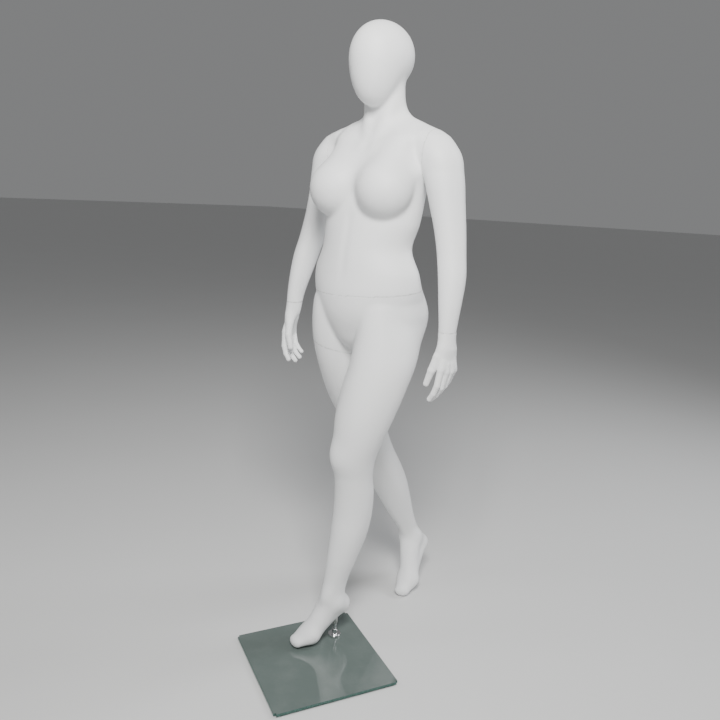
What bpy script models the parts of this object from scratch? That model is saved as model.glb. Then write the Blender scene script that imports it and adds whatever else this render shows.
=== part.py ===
"""Full body display mannequin: an egg-head figure striding on tiptoe, on a square glass base.

Metres, +Z up.  The figure faces -Y and its left side is +X.  The floor is z = 0, and the
origin is on the floor under the middle of the whole outline.

The skin of the figure is one smooth field (negative inside), put together from lofted limbs and
rounded forms.  It is meshed, hollowed to a moulded wall, and sawn at its seams into the shells
that the real mannequin comes apart into.  Panels, twist-lock fittings, the foot socket and the
base are turned or extruded.
"""
from math import cos, pi, radians, sin

import bmesh
import bpy
import numpy as np
from mathutils import Matrix, Vector

# ---------------------------------------------------------------- driving dimensions
WALL = 0.0045                 # moulded fibreglass wall
KERF = 0.0003                 # gap between two pieces that meet
SKIN_CELL = 0.007             # meshing cell of the figure
HAND_CELL = 0.0028            # meshing cell of the hands
SKIN_TRIANGLES = 5200         # figure after simplifying
CAVITY_TRIANGLES = 1500
HAND_TRIANGLES = 560
FIGURE_BOX = ((-0.34, -0.26, -0.01), (0.34, 0.46, 1.80))
HAND_BOX = ((0.19, -0.12, 0.76), (0.33, 0.07, 1.03))
HAND_STUB = 0.012             # forearm meshed with each hand, then cut off at the seam
OVAL_SEGMENTS = 26            # saw cuts and panels
ROUND_SEGMENTS = 18           # turned pieces

GLASS_SIDE = 0.360
GLASS_THICKNESS = 0.008
GLASS_CORNER = 0.006
GLASS_ARRIS = 0.0008
PAD_HEIGHT = 0.003
PAD_RADIUS = 0.009
PAD_INSET = 0.024             # pad centre from the glass edges
GLASS_CENTRE = Vector((0.040, -0.210, 0.0))
GLASS_TURN = radians(-27.7)
GLASS_TOP = PAD_HEIGHT + GLASS_THICKNESS

ROD_AXIS = Vector((0.011, -0.086, 0.0))
ROD_RADIUS = 0.0045
ROD_BOTTOM = 0.0205
ROD_TOP = 0.205
ROD_POINT = 0.002             # chamfer round its top
SOCKET_BORE = 0.0052
SOCKET_RADIUS = 0.008
SOLE_Z = 0.050                # lower end of the foot socket, at the sole
FLANGE_RADIUS = 0.0190
FLANGE_THICKNESS = 0.004
COLLAR_RADIUS = 0.0075
COLLAR_TOP = 0.031
GASKET_THICKNESS = 0.0008
SHANK_RADIUS = 0.0030         # base bolt
SHANK_BORE = 0.0034           # its hole through the gasket and the flange
GLASS_BORE = 0.0045
BOLT_HEAD_RADIUS = 0.0085
BOLT_HEAD_BOTTOM = 0.0004
BOLT_CHAMFER = (0.0015, 0.0006)
WASHER_RADIUS = 0.0105
WASHER_THICKNESS = 0.0007
SCREW_RADIUS = 0.0019         # set screw that grips the rod
SCREW_Z = 0.0262
SCREW_PROUD = 0.0012          # how far it stands out of the collar
SCREW_DIRECTION = Vector((0.88, 0.47, 0.0)).normalized()
HEX_RADIUS = 0.0010
HEX_DEPTH = 0.0015
SOCKET_CAP = 0.003            # blind end of the foot socket

PAINT = ("matte_white_paint", (0.83, 0.835, 0.83, 1.0), 0.62, 0.0)
PANEL_PAINT = ("panel_grey", (0.55, 0.55, 0.54, 1.0), 0.7, 0.0)
STEEL = ("plated_steel", (0.62, 0.62, 0.60, 1.0), 0.35, 1.0)
CHROME = ("chrome", (0.80, 0.80, 0.81, 1.0), 0.08, 1.0)
GLASS = ("tempered_glass", (0.62, 0.74, 0.70, 1.0), 0.05, 0.0)
RUBBER = ("clear_rubber", (0.60, 0.62, 0.60, 1.0), 0.5, 0.0)

# ---------------------------------------------------------------- figure, section by section
# Each station: height, centre x, centre y, then the section's reach to the right (-X),
# left (+X), front (-Y) and back (+Y).
TORSO = (
    (0.885, 0.000, 0.000, 0.026, 0.026, 0.040, 0.050),
    (0.915, 0.000, -0.002, 0.060, 0.060, 0.070, 0.085),
    (0.955, 0.000, 0.004, 0.108, 0.108, 0.100, 0.118),
    (1.000, 0.000, 0.006, 0.139, 0.149, 0.120, 0.132),
    (1.050, 0.000, 0.002, 0.155, 0.165, 0.122, 0.128),
    (1.110, 0.000, -0.002, 0.161, 0.163, 0.112, 0.110),
    (1.180, 0.000, -0.001, 0.138, 0.134, 0.104, 0.092),
    (1.250, 0.000, 0.008, 0.141, 0.147, 0.101, 0.100),
    (1.320, 0.000, 0.020, 0.147, 0.148, 0.100, 0.112),
    (1.380, 0.000, 0.030, 0.149, 0.150, 0.094, 0.108),
    (1.430, 0.000, 0.040, 0.146, 0.146, 0.080, 0.094),
    (1.465, 0.000, 0.048, 0.130, 0.130, 0.060, 0.078),
    (1.490, 0.000, 0.052, 0.095, 0.095, 0.046, 0.062),
)
NECK = (
    (1.420, 0.000, 0.054, 0.064, 0.064, 0.054, 0.060),
    (1.470, 0.000, 0.056, 0.062, 0.062, 0.046, 0.059),
    (1.520, 0.000, 0.050, 0.058, 0.058, 0.042, 0.056),
    (1.580, 0.000, 0.040, 0.057, 0.057, 0.044, 0.053),
    (1.640, 0.000, 0.035, 0.056, 0.056, 0.045, 0.052),
)
LEFT_LEG = (
    (1.060, 0.080, 0.005, 0.060, 0.074, 0.100, 0.112),
    (0.990, 0.084, 0.002, 0.070, 0.077, 0.108, 0.119),
    (0.930, 0.087, -0.009, 0.078, 0.086, 0.106, 0.116),
    (0.870, 0.087, -0.027, 0.080, 0.092, 0.100, 0.108),
    (0.800, 0.079, -0.049, 0.084, 0.091, 0.092, 0.098),
    (0.720, 0.068, -0.071, 0.079, 0.084, 0.081, 0.089),
    (0.650, 0.059, -0.085, 0.066, 0.071, 0.068, 0.078),
    (0.595, 0.053, -0.086, 0.058, 0.059, 0.062, 0.065),
    (0.540, 0.047, -0.079, 0.052, 0.054, 0.057, 0.061),
    (0.480, 0.042, -0.070, 0.052, 0.055, 0.054, 0.071),
    (0.420, 0.036, -0.068, 0.051, 0.056, 0.050, 0.077),
    (0.350, 0.029, -0.074, 0.047, 0.053, 0.047, 0.080),
    (0.270, 0.019, -0.085, 0.038, 0.043, 0.041, 0.065),
    (0.200, 0.010, -0.093, 0.032, 0.034, 0.037, 0.045),
    (0.150, 0.007, -0.096, 0.031, 0.031, 0.045, 0.034),
    (0.115, 0.005, -0.096, 0.028, 0.028, 0.041, 0.028),
)
RIGHT_LEG = (
    (1.060, -0.080, 0.005, 0.072, 0.060, 0.100, 0.112),
    (0.990, -0.086, 0.007, 0.070, 0.070, 0.107, 0.118),
    (0.930, -0.091, 0.015, 0.070, 0.078, 0.106, 0.114),
    (0.870, -0.091, 0.029, 0.072, 0.080, 0.103, 0.106),
    (0.800, -0.087, 0.051, 0.077, 0.083, 0.096, 0.096),
    (0.720, -0.080, 0.082, 0.081, 0.079, 0.087, 0.088),
    (0.650, -0.073, 0.109, 0.069, 0.066, 0.074, 0.080),
    (0.580, -0.065, 0.140, 0.059, 0.058, 0.065, 0.073),
    (0.520, -0.059, 0.170, 0.053, 0.053, 0.060, 0.077),
    (0.460, -0.053, 0.204, 0.053, 0.053, 0.061, 0.082),
    (0.400, -0.047, 0.239, 0.053, 0.053, 0.065, 0.078),
    (0.330, -0.040, 0.283, 0.047, 0.047, 0.066, 0.055),
    (0.260, -0.033, 0.323, 0.037, 0.037, 0.058, 0.036),
    (0.200, -0.026, 0.353, 0.031, 0.031, 0.044, 0.030),
    (0.160, -0.021, 0.364, 0.029, 0.029, 0.037, 0.026),
)
LEFT_ARM = (
    (1.475, 0.172, 0.052, 0.030, 0.030, 0.035, 0.040),
    (1.445, 0.180, 0.053, 0.050, 0.047, 0.055, 0.058),
    (1.380, 0.197, 0.053, 0.053, 0.050, 0.058, 0.060),
    (1.310, 0.213, 0.050, 0.046, 0.046, 0.052, 0.055),
    (1.240, 0.230, 0.045, 0.039, 0.042, 0.045, 0.048),
    (1.180, 0.243, 0.038, 0.035, 0.040, 0.040, 0.043),
    (1.120, 0.255, 0.028, 0.032, 0.039, 0.039, 0.041),
    (1.060, 0.265, 0.015, 0.029, 0.031, 0.034, 0.035),
    (1.000, 0.271, 0.004, 0.023, 0.024, 0.028, 0.027),
    (0.960, 0.273, -0.001, 0.021, 0.021, 0.024, 0.024),
    (0.935, 0.274, -0.003, 0.018, 0.019, 0.022, 0.022),
)
RIGHT_ARM_REACH = 0.97        # the right elbow is bent a little more than the left
RIGHT_ARM_INWARD = 0.007      # and its upper half hangs a little closer to the body
SHOULDER_Z = 1.400

LEFT_FOOT = {"ankle": (0.004, -0.098, 0.130), "heel": (0.012, -0.067, 0.113),
             "ball": (-0.020, -0.166, 0.0415), "toe": (-0.036, -0.206, 0.0285), "yaw": -18}
RIGHT_FOOT = {"ankle": (-0.021, 0.362, 0.165), "heel": (-0.009, 0.407, 0.128),
              "ball": (0.025, 0.294, 0.043), "toe": (0.032, 0.248, 0.0180), "yaw": 18}

# The left hand, from its wrist: t towards the thumb, n out of the back of the hand,
# d down the fingers.  The right hand is its mirror image.
WRIST = np.array((0.2725, -0.001, 0.972))
HAND_DOWN = np.array((0.03, -0.10, -1.0)) / np.linalg.norm((0.03, -0.10, -1.0))
HAND_BACK = np.array((0.97, -0.25, 0.0))
HAND_BACK = HAND_BACK - HAND_DOWN * np.dot(HAND_DOWN, HAND_BACK)
HAND_BACK /= np.linalg.norm(HAND_BACK)
HAND_THUMB = np.cross(HAND_DOWN, HAND_BACK)
# Each finger: knuckle t, n, d; the three bones' lengths; their curls and the splay in degrees;
# radius.
FINGERS = (
    (0.0185, 0.009, 0.092, (0.042, 0.025, 0.020), (6, 22, 36), 4, 0.0088),
    (0.0010, 0.012, 0.096, (0.045, 0.027, 0.021), (14, 34, 48), 2, 0.0090),
    (-0.0165, 0.011, 0.095, (0.042, 0.025, 0.020), (19, 40, 52), 3, 0.0086),
    (-0.0325, 0.007, 0.091, (0.037, 0.019, 0.017), (21, 42, 52), 6, 0.0078),
)
THUMB = ((0.004, 0.000, 0.020), (0.021, -0.004, 0.058), (0.032, -0.011, 0.095),
         (0.034, -0.024, 0.132))
THUMB_RADII = (0.0150, 0.0118, 0.0100, 0.0080)

# The body's midline grooves: side (front -1, back 1), width, depth, bottom, top, run-out.
MIDLINE_GROOVES = (
    (-1, 0.012, 0.0022, 1.110, 1.270, 0.030),
    (1, 0.017, 0.0050, 1.080, 1.420, 0.050),
    (1, 0.011, 0.0120, 0.900, 1.010, 0.030),
)

# ---------------------------------------------------------------- seams and joints
# Each seam: centre, direction out of the piece that carries the key, half width and half
# length of the saw cut (along the two directions across the seam).
WAIST_SEAM = {"centre": Vector((0.0, 0.000, 1.064)), "normal": Vector((0.03, 0.085, -1.0)),
              "reach": (0.205, 0.170)}
THIGH_SEAM = {"centre": Vector((-0.093, 0.026, 0.893)), "normal": Vector((0.27, 0.03, 1.0)),
              "reach": (0.0975, 0.135)}
SHOULDER_SEAM = {"centre": Vector((0.1590, 0.053, 1.425)), "normal": Vector((-1.0, 0.0, 0.08)),
                 "reach": (0.114, 0.076), "panel_reach": (0.050, 0.038)}
WRIST_SEAM = {"centre": Vector((0.2715, 0.001, 0.980)), "normal": Vector((0.0, 0.0, 1.0)),
              "reach": (0.040, 0.040)}
PANEL_SETBACK = 0.001         # panel face behind the seam plane
PANEL_THICKNESS = 0.006
PANEL_CLEARANCE = 0.0022      # between a panel's edge and the wall
WAIST_TURN = radians(45)       # turns that free the twist locks
THIGH_TURN = radians(50)
SHOULDER_TURN = radians(60)
WRIST_TURN = radians(90)
FITTING_RADIUS = {"waist": 0.034, "thigh": 0.030, "shoulder": 0.026, "wrist": 0.0125}
# The twist lock's measures as parts of its fitting's radius.
LOCK_NECK = 0.24
LOCK_BAR_LENGTH = 1.5
LOCK_SLOT_LENGTH = 1.6
LOCK_BAR_WIDTH = 0.40
LOCK_BAR_THICKNESS = 0.16
LOCK_SHEET = 0.10
LEAST_FACE = 0.0016           # but the sheet is never thinner than this at the face
LEAST_WALL = 0.0012           # or than this at the side
LOCK_PLAY = 0.0006            # all round the bar
NECK_PLAY = 0.0005


# ---------------------------------------------------------------- field helpers
def smooth_min(a, b, k):
    """Union of two fields with a fillet of size k."""
    h = np.maximum(k - np.abs(a - b), 0.0) / k
    return np.minimum(a, b) - h * h * h * k / 6.0


def smooth_max(a, b, k):
    return -smooth_min(-a, -b, k)


def mirrored(points):
    return points * np.array((-1.0, 1.0, 1.0), np.float32)


def ellipsoid(points, centre, radii):
    q = points - np.array(centre, np.float32)
    r = np.array(radii, np.float32)
    a = np.sqrt(np.sum((q / r) ** 2, axis=1))
    b = np.sqrt(np.sum((q / r ** 2) ** 2, axis=1)) + 1e-6
    return a * (a - 1.0) / b


def tapered_rod(points, start, end, start_radius, end_radius, flat=None, flatness=1.0):
    """A rod with round ends; across the direction `flat` it is `flatness` times as thick."""
    start = np.array(start, np.float32)
    axis = np.array(end, np.float32) - start
    q = points - start
    t = np.clip(q @ axis / np.dot(axis, axis), 0.0, 1.0)
    r = q - t[:, None] * axis
    if flat is not None:
        n = np.array(flat, np.float32)
        r = r + ((r @ n) * (1.0 / flatness - 1.0))[:, None] * n
    return np.sqrt(np.sum(r * r, axis=1)) - (start_radius + (end_radius - start_radius) * t)


def station_curve(stations, heights):
    """The stations' values at any height, on a smooth curve through them."""
    table = np.array(sorted(stations), float)
    x, y = table[:, 0], table[:, 1:]
    step = np.diff(x)[:, None]
    slope = np.diff(y, axis=0) / step
    tangent = np.vstack((slope[:1],
                         (slope[:-1] * step[1:] + slope[1:] * step[:-1]) / (step[1:] + step[:-1]),
                         slope[-1:]))
    i = np.clip(np.searchsorted(x, heights) - 1, 0, len(x) - 2)
    h = step[i]
    u = (np.clip(heights, x[0], x[-1]) - x[i])[:, None] / h
    return ((2 * u ** 3 - 3 * u ** 2 + 1) * y[i] + (u ** 3 - 2 * u ** 2 + u) * h * tangent[i]
            + (3 * u ** 2 - 2 * u ** 3) * y[i + 1] + (u ** 3 - u ** 2) * h * tangent[i + 1])


def loft(points, stations, end_rounding):
    """A limb through level sections, each made of four quarter ellipses."""
    z = points[:, 2]
    low, high = stations[0][0], stations[-1][0]
    low, high = min(low, high), max(low, high)
    heights = np.linspace(low, high, 400)
    table = station_curve(stations, heights)
    cx, cy, right, left, front, back = (
        np.interp(z, heights, table[:, i]).astype(np.float32) for i in range(6))
    dx, dy = points[:, 0] - cx, points[:, 1] - cy
    rx = np.where(dx > 0, left, right)
    ry = np.where(dy > 0, back, front)
    a = np.sqrt((dx / rx) ** 2 + (dy / ry) ** 2)
    b = np.sqrt((dx / rx ** 2) ** 2 + (dy / ry ** 2) ** 2) + 1e-6
    return smooth_max(a * (a - 1.0) / b, np.maximum(z - high, low - z), end_rounding)


# ---------------------------------------------------------------- the figure's forms
def fade(values, low, high):
    """0 below low, 1 above high, and a smooth rise between them."""
    t = np.clip((values - low) / (high - low), 0.0, 1.0)
    return t * t * (3.0 - 2.0 * t)


def groove(points, side, width, depth, bottom, top, run_out):
    """How far the skin sinks along the body's midline, at the front (-1) or the back (1)."""
    x, y, z = points.T
    along = fade(z, bottom - run_out, bottom + run_out) - fade(z, top - run_out, top + run_out)
    return depth * np.exp(-(x / width) ** 2) * along * fade(side * y, 0.02, 0.06)


def torso_field(points):
    d = loft(points, TORSO, 0.04)
    for side in (1, -1):
        glute = ellipsoid(points, (side * 0.072, 0.072, 0.990), (0.078, 0.074, 0.088))
        yoke = tapered_rod(points, (0, 0.058, 1.480), (side * 0.158, 0.053, 1.452), 0.048, 0.043)
        trapezius = tapered_rod(points, (side * 0.020, 0.066, 1.532), (side * 0.125, 0.060, 1.473),
                                0.022, 0.022)
        d = smooth_min(d, glute, 0.07)
        d = smooth_min(d, yoke, 0.05)
        d = smooth_min(d, trapezius, 0.06)
    return d


def breast_field(points, side):
    d = ellipsoid(points, (side * 0.080, -0.052, 1.330), (0.069, 0.066, 0.070))
    slope = tapered_rod(points, (side * 0.080, -0.045, 1.345), (side * 0.088, 0.012, 1.440),
                        0.061, 0.034)
    tail = tapered_rod(points, (side * 0.084, -0.043, 1.337), (side * 0.118, 0.002, 1.378),
                       0.059, 0.031)
    return smooth_min(smooth_min(d, slope, 0.060), tail, 0.030)


def neck_field(points):
    """The neck, its two tendons that meet at the breastbone, and the collarbones."""
    d = loft(points, NECK, 0.03)
    for side in (1, -1):
        tendon = tapered_rod(points, (side * 0.036, 0.027, 1.560), (side * 0.012, -0.006, 1.452),
                             0.011, 0.009)
        collarbone = tapered_rod(points, (side * 0.022, -0.018, 1.443),
                                 (side * 0.135, 0.020, 1.470), 0.009, 0.010)
        d = smooth_min(d, tendon, 0.030)
        d = smooth_min(d, collarbone, 0.026)
    return d


def head_field(points):
    skull = ellipsoid(points, (0, 0.026, 1.683), (0.0755, 0.096, 0.084))
    brow = ellipsoid(points, (0, -0.008, 1.684), (0.060, 0.060, 0.068))
    face = ellipsoid(points, (0, -0.012, 1.630), (0.058, 0.058, 0.079))
    return smooth_min(smooth_min(skull, brow, 0.04), face, 0.06)


def foot_field(points, foot):
    yaw = radians(foot["yaw"])
    across = np.array((cos(yaw), sin(yaw), 0.0))
    ankle, heel, ball, toe = (np.array(foot[name]) for name in ("ankle", "heel", "ball", "toe"))
    d = tapered_rod(points, heel, (ankle + heel) / 2, 0.0255, 0.029)
    d = smooth_min(d, tapered_rod(points, ankle, ball, 0.032, 0.0212, across, 1.18), 0.034)
    d = smooth_min(d, tapered_rod(points, heel, ball, 0.0235, 0.021, across, 1.15), 0.030)
    d = smooth_min(d, tapered_rod(points, ball, toe, 0.0225, 0.0165, across, 1.50), 0.030)
    for side in (1, -1):
        malleolus = ellipsoid(points, ankle + across * side * 0.024, (0.014, 0.014, 0.018))
        d = smooth_min(d, malleolus, 0.020)
    return d


def hand_point(t, n, d):
    return WRIST + HAND_THUMB * t + HAND_BACK * n + HAND_DOWN * d


def finger_joints(knuckle, lengths, curls, splay):
    joints = [knuckle]
    aside = radians(splay)
    for length, curl in zip(lengths, curls):
        bend = radians(curl)
        along = HAND_DOWN * cos(aside) + HAND_THUMB * sin(aside)
        joints.append(joints[-1] + (along * cos(bend) - HAND_BACK * sin(bend)) * length)
    return joints


def hand_field(points):
    d = tapered_rod(points, hand_point(0, 0, -0.03), hand_point(-0.003, 0.005, 0.035),
                    0.0230, 0.0265, HAND_BACK, 0.64)
    for wrist_t, knuckle_t, radius in ((0.003, 0.009, 0.0180), (-0.012, -0.021, 0.0175)):
        palm = tapered_rod(points, hand_point(wrist_t, 0.003, 0.040),
                           hand_point(knuckle_t, 0.008, 0.084), 0.0215, radius, HAND_BACK, 0.62)
        d = smooth_min(d, palm, 0.02)
    fingers = None
    for t, n, down, lengths, curls, splay, radius in FINGERS:
        joints = finger_joints(hand_point(t, n, down), lengths, curls, splay)
        finger = tapered_rod(points, hand_point(t * 0.8, n, down - 0.02), joints[0],
                             radius * 0.9, radius * 1.06)
        for i, (a, b) in enumerate(zip(joints[:-1], joints[1:])):
            bone = tapered_rod(points, a, b, radius * (1.04 - 0.1 * i), radius * (0.97 - 0.1 * i))
            finger = smooth_min(finger, bone, 0.003)
        fingers = finger if fingers is None else smooth_min(fingers, finger, 0.003)
    d = smooth_min(d, fingers, 0.010)
    joints = [hand_point(*place) for place in THUMB]
    for i in range(3):
        bone = tapered_rod(points, joints[i], joints[i + 1], THUMB_RADII[i], THUMB_RADII[i + 1])
        d = smooth_min(d, bone, 0.012 if i == 0 else 0.005)
    return d


def arm_points(points, side):
    """Points as the left arm's own form sees them, for either arm."""
    if side > 0:
        return points
    q = mirrored(points)
    q[:, 0] += RIGHT_ARM_INWARD * fade(q[:, 2], 1.14, 1.28) * (1.0 - fade(q[:, 2], 1.32, 1.42))
    below = np.minimum(q[:, 2] - SHOULDER_Z, 0.0)
    q[:, 2] += below * (1.0 / RIGHT_ARM_REACH - 1.0)
    return q


def arm_field(points, side, with_hand):
    q = arm_points(points, side)
    d = loft(q, LEFT_ARM, 0.02)
    if with_hand:
        d = smooth_min(d, hand_field(q), 0.012)
    return d


def body_field(points):
    """The whole skin but the hands, which are finer and are meshed on their own."""
    points = points.astype(np.float32)
    off_centre, y, z = np.abs(points[:, 0]), points[:, 1], points[:, 2]
    d = smooth_min(torso_field(points), neck_field(points), 0.045)
    at_shoulder = fade(z, 1.33, 1.42)
    over_breast = fade(z, 1.29, 1.40) * (1.0 - fade(off_centre, 0.10, 0.15))
    for side in (1, -1):
        d = smooth_min(d, breast_field(points, side), 0.018 + 0.062 * over_breast)
    for side in (1, -1):
        d = smooth_min(d, arm_field(points, side, False), 0.004 + 0.030 * at_shoulder)
    d = smooth_min(d, head_field(points), 0.018)
    legs = smooth_min(loft(points, LEFT_LEG, 0.05), loft(points, RIGHT_LEG, 0.05), 0.004)
    at_hip = 1.0 - fade(z, 0.99, 1.06)
    d = smooth_min(d, legs, 0.014 + 0.036 * fade(y, -0.08, 0.0) * at_hip - 0.010 * (1.0 - at_hip))
    d = smooth_min(d, ellipsoid(points, (0.038, -0.118, 0.607), (0.034, 0.034, 0.046)), 0.04)
    for line in MIDLINE_GROOVES:
        d = d + groove(points, *line)
    for foot in (LEFT_FOOT, RIGHT_FOOT):
        d = smooth_min(d, foot_field(points, foot), 0.030)
    return d


# ---------------------------------------------------------------- meshing the field
def field_slope(field, points, step=0.0008):
    slopes = []
    for axis in range(3):
        shift = np.zeros(3, np.float32)
        shift[axis] = step
        slopes.append((field(points + shift) - field(points - shift)) / (2 * step))
    return np.stack(slopes, axis=1)


def lattice_values(field, low, shape, cell, block=8):
    """Field values on a lattice, worked out only in the blocks that the skin can cross."""
    values = np.full(shape, 1.0, np.float32)
    blocks = [np.arange(0, n, block) for n in shape]
    corners = np.stack(np.meshgrid(*blocks, indexing="ij"), -1).reshape(-1, 3)
    middles = (low + (corners + block / 2) * cell).astype(np.float32)
    reach = block * cell * 1.5
    at_middle = field(middles)
    for corner, value in zip(corners, at_middle):
        if value < -reach:
            i, j, k = corner
            values[i:i + block, j:j + block, k:k + block] = -1.0
    near = corners[np.abs(at_middle) <= reach]
    offsets = np.stack(np.meshgrid(*[np.arange(block)] * 3, indexing="ij"), -1).reshape(-1, 3)
    for start in range(0, len(near), 400):
        index = (near[start:start + 400, None, :] + offsets[None]).reshape(-1, 3)
        index = index[np.all(index < np.array(shape), axis=1)]
        found = field((low + index * cell).astype(np.float32))
        values[index[:, 0], index[:, 1], index[:, 2]] = found
    return values


def surface_net(field, low, high, cell):
    """Quads over the zero of the field: a vertex in each cell that the skin crosses."""
    low = np.array(low, float)
    shape = tuple(int(n) for n in np.ceil((np.array(high) - low) / cell) + 1)
    values = lattice_values(field, low, shape, cell)
    inside = values < 0
    corner_steps = np.array([(i, j, k) for i in (0, 1) for j in (0, 1) for k in (0, 1)])
    total = np.zeros(tuple(n - 1 for n in shape), np.int8)
    for i, j, k in corner_steps:
        total += inside[i:shape[0] - 1 + i, j:shape[1] - 1 + j, k:shape[2] - 1 + k]
    cells = np.argwhere((total > 0) & (total < 8))
    number = np.full(total.shape, -1, np.int64)
    number[tuple(cells.T)] = np.arange(len(cells))

    crossing_sum = np.zeros((len(cells), 3))
    crossing_count = np.zeros(len(cells))
    for a in corner_steps:
        for axis in range(3):
            if a[axis]:
                continue
            b = a.copy()
            b[axis] = 1
            va = values[tuple((cells + a).T)]
            vb = values[tuple((cells + b).T)]
            crossed = (va < 0) != (vb < 0)
            t = np.where(crossed, va / np.where(crossed, va - vb, 1.0), 0.0)
            place = cells + a + t[:, None] * (b - a)
            crossing_sum[crossed] += place[crossed]
            crossing_count += crossed
    vertices = low + crossing_sum / crossing_count[:, None] * cell

    quads = []
    for axis in range(3):
        u, v = (axis + 1) % 3, (axis + 2) % 3
        here = [slice(0, n) for n in shape]
        there = [slice(0, n) for n in shape]
        here[axis], there[axis] = slice(0, shape[axis] - 1), slice(1, shape[axis])
        edges = np.argwhere(inside[tuple(here)] != inside[tuple(there)])
        edges = edges[(edges[:, u] > 0) & (edges[:, v] > 0)]
        starts_inside = inside[tuple(edges.T)]
        ring = []
        for du, dv in ((1, 1), (0, 1), (0, 0), (1, 0)):
            cell_index = edges.copy()
            cell_index[:, u] -= du
            cell_index[:, v] -= dv
            ring.append(number[tuple(cell_index.T)])
        ring = np.stack(ring, axis=1)
        ring[~starts_inside] = ring[~starts_inside][:, ::-1]
        quads.append(ring)
    quads = np.concatenate(quads)

    for _ in range(3):
        near = vertices.astype(np.float32)
        slope = field_slope(field, near)
        steepness = np.maximum(np.sum(slope * slope, axis=1), 0.05)
        move = -(field(near) / steepness)[:, None] * slope
        vertices += np.clip(move, -cell * 0.4, cell * 0.4)
    return vertices, quads


def mesh_object(name, vertices, faces):
    mesh = bpy.data.meshes.new(name)
    mesh.from_pydata([tuple(v) for v in vertices], [], [tuple(int(i) for i in f) for f in faces])
    mesh.update()
    obj = bpy.data.objects.new(name, mesh)
    bpy.context.scene.collection.objects.link(obj)
    return obj


# ---------------------------------------------------------------- Blender helpers
def clear_scene():
    for obj in list(bpy.data.objects):
        bpy.data.objects.remove(obj)


def make_material(finish):
    name, colour, roughness, metallic = finish
    material = bpy.data.materials.get(name)
    if material is None:
        material = bpy.data.materials.new(name)
        material.use_nodes = True
        shader = material.node_tree.nodes["Principled BSDF"]
        shader.inputs["Base Color"].default_value = colour
        shader.inputs["Roughness"].default_value = roughness
        shader.inputs["Metallic"].default_value = metallic
        material.diffuse_color = colour
    return material


def apply_modifiers(obj):
    """Replace the object's mesh with what its modifiers make of it."""
    graph = bpy.context.evaluated_depsgraph_get()
    mesh = bpy.data.meshes.new_from_object(obj.evaluated_get(graph))
    obj.modifiers.clear()
    obj.data = mesh


def simplify(obj, triangles):
    modifier = obj.modifiers.new("simplify", "DECIMATE")
    modifier.ratio = triangles / (2 * len(obj.data.polygons))
    apply_modifiers(obj)


def boolean(obj, other, operation):
    """Cut or join with the EXACT solver; the other object is used up."""
    modifier = obj.modifiers.new(operation.lower(), "BOOLEAN")
    modifier.operation = operation
    modifier.object = other
    apply_modifiers(obj)
    bpy.data.objects.remove(other)


def loose_parts(obj):
    """The object's connected pieces, each as its own vertices and faces, largest first."""
    mesh = obj.data
    parent = list(range(len(mesh.vertices)))

    def root(i):
        while parent[i] != i:
            parent[i] = parent[parent[i]]
            i = parent[i]
        return i

    for edge in mesh.edges:
        a, b = root(edge.vertices[0]), root(edge.vertices[1])
        parent[a] = b
    groups = {}
    for polygon in mesh.polygons:
        groups.setdefault(root(polygon.vertices[0]), []).append(tuple(polygon.vertices))
    parts = []
    for faces in groups.values():
        used = sorted({i for face in faces for i in face})
        renumber = {old: new for new, old in enumerate(used)}
        vertices = [mesh.vertices[i].co.copy() for i in used]
        parts.append((vertices, [[renumber[i] for i in face] for face in faces]))
    return sorted(parts, key=lambda part: -len(part[0]))


def seam_axes(seam):
    """Rotation that turns +Z onto the seam's direction, keeping X and Y as level as it can."""
    z = seam["normal"].normalized()
    x = Vector((0.0, 0.0, 1.0)) if abs(z.z) < 0.5 else Vector((1.0, 0.0, 0.0))
    x = (x - z * x.dot(z)).normalized()
    y = z.cross(x)
    return Matrix((x, y, z)).transposed()


def seam_matrix(seam):
    return Matrix.Translation(seam["centre"]) @ seam_axes(seam).to_4x4()


def mirror_seam(seam):
    """The same seam on the right side of the figure, with the right arm's shorter reach."""
    centre, normal = seam["centre"].copy(), seam["normal"].copy()
    centre.x, normal.x = -centre.x, -normal.x
    if centre.z < SHOULDER_Z:
        centre.z = SHOULDER_Z + (centre.z - SHOULDER_Z) * RIGHT_ARM_REACH
    return dict(seam, centre=centre, normal=normal)


def saw_cut(seam):
    """A thin oval plate where the seam is sawn."""
    bm = bmesh.new()
    bmesh.ops.create_cone(bm, cap_ends=True, segments=OVAL_SEGMENTS, radius1=1.0, radius2=1.0,
                          depth=KERF)
    bmesh.ops.scale(bm, verts=bm.verts, vec=(seam["reach"][0], seam["reach"][1], 1.0))
    bmesh.ops.transform(bm, matrix=seam_matrix(seam), verts=bm.verts)
    return bmesh_object("saw_cut", bm)


def bmesh_object(name, bm):
    bmesh.ops.recalc_face_normals(bm, faces=bm.faces)
    mesh = bpy.data.meshes.new(name)
    bm.to_mesh(mesh)
    bm.free()
    obj = bpy.data.objects.new(name, mesh)
    bpy.context.scene.collection.objects.link(obj)
    return obj


def turned(name, profile, segments=ROUND_SEGMENTS):
    """A closed (radius, z) outline turned about Z; points on the axis close the piece."""
    bm = bmesh.new()
    verts = [bm.verts.new((r, 0.0, z)) for r, z in profile]
    edges = [bm.edges.new((a, b)) for a, b in zip(verts, verts[1:] + verts[:1])]
    bmesh.ops.spin(bm, geom=verts + edges, axis=(0, 0, 1), cent=(0, 0, 0), angle=2 * pi,
                   steps=segments, use_merge=True)
    bmesh.ops.remove_doubles(bm, verts=bm.verts, dist=1e-6)
    bmesh.ops.dissolve_degenerate(bm, edges=bm.edges, dist=1e-6)
    return bmesh_object(name, bm)


def cylinder(name, radius, bottom, top, segments=ROUND_SEGMENTS):
    return turned(name, ((0.0, bottom), (radius, bottom), (radius, top), (0.0, top)), segments)


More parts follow.
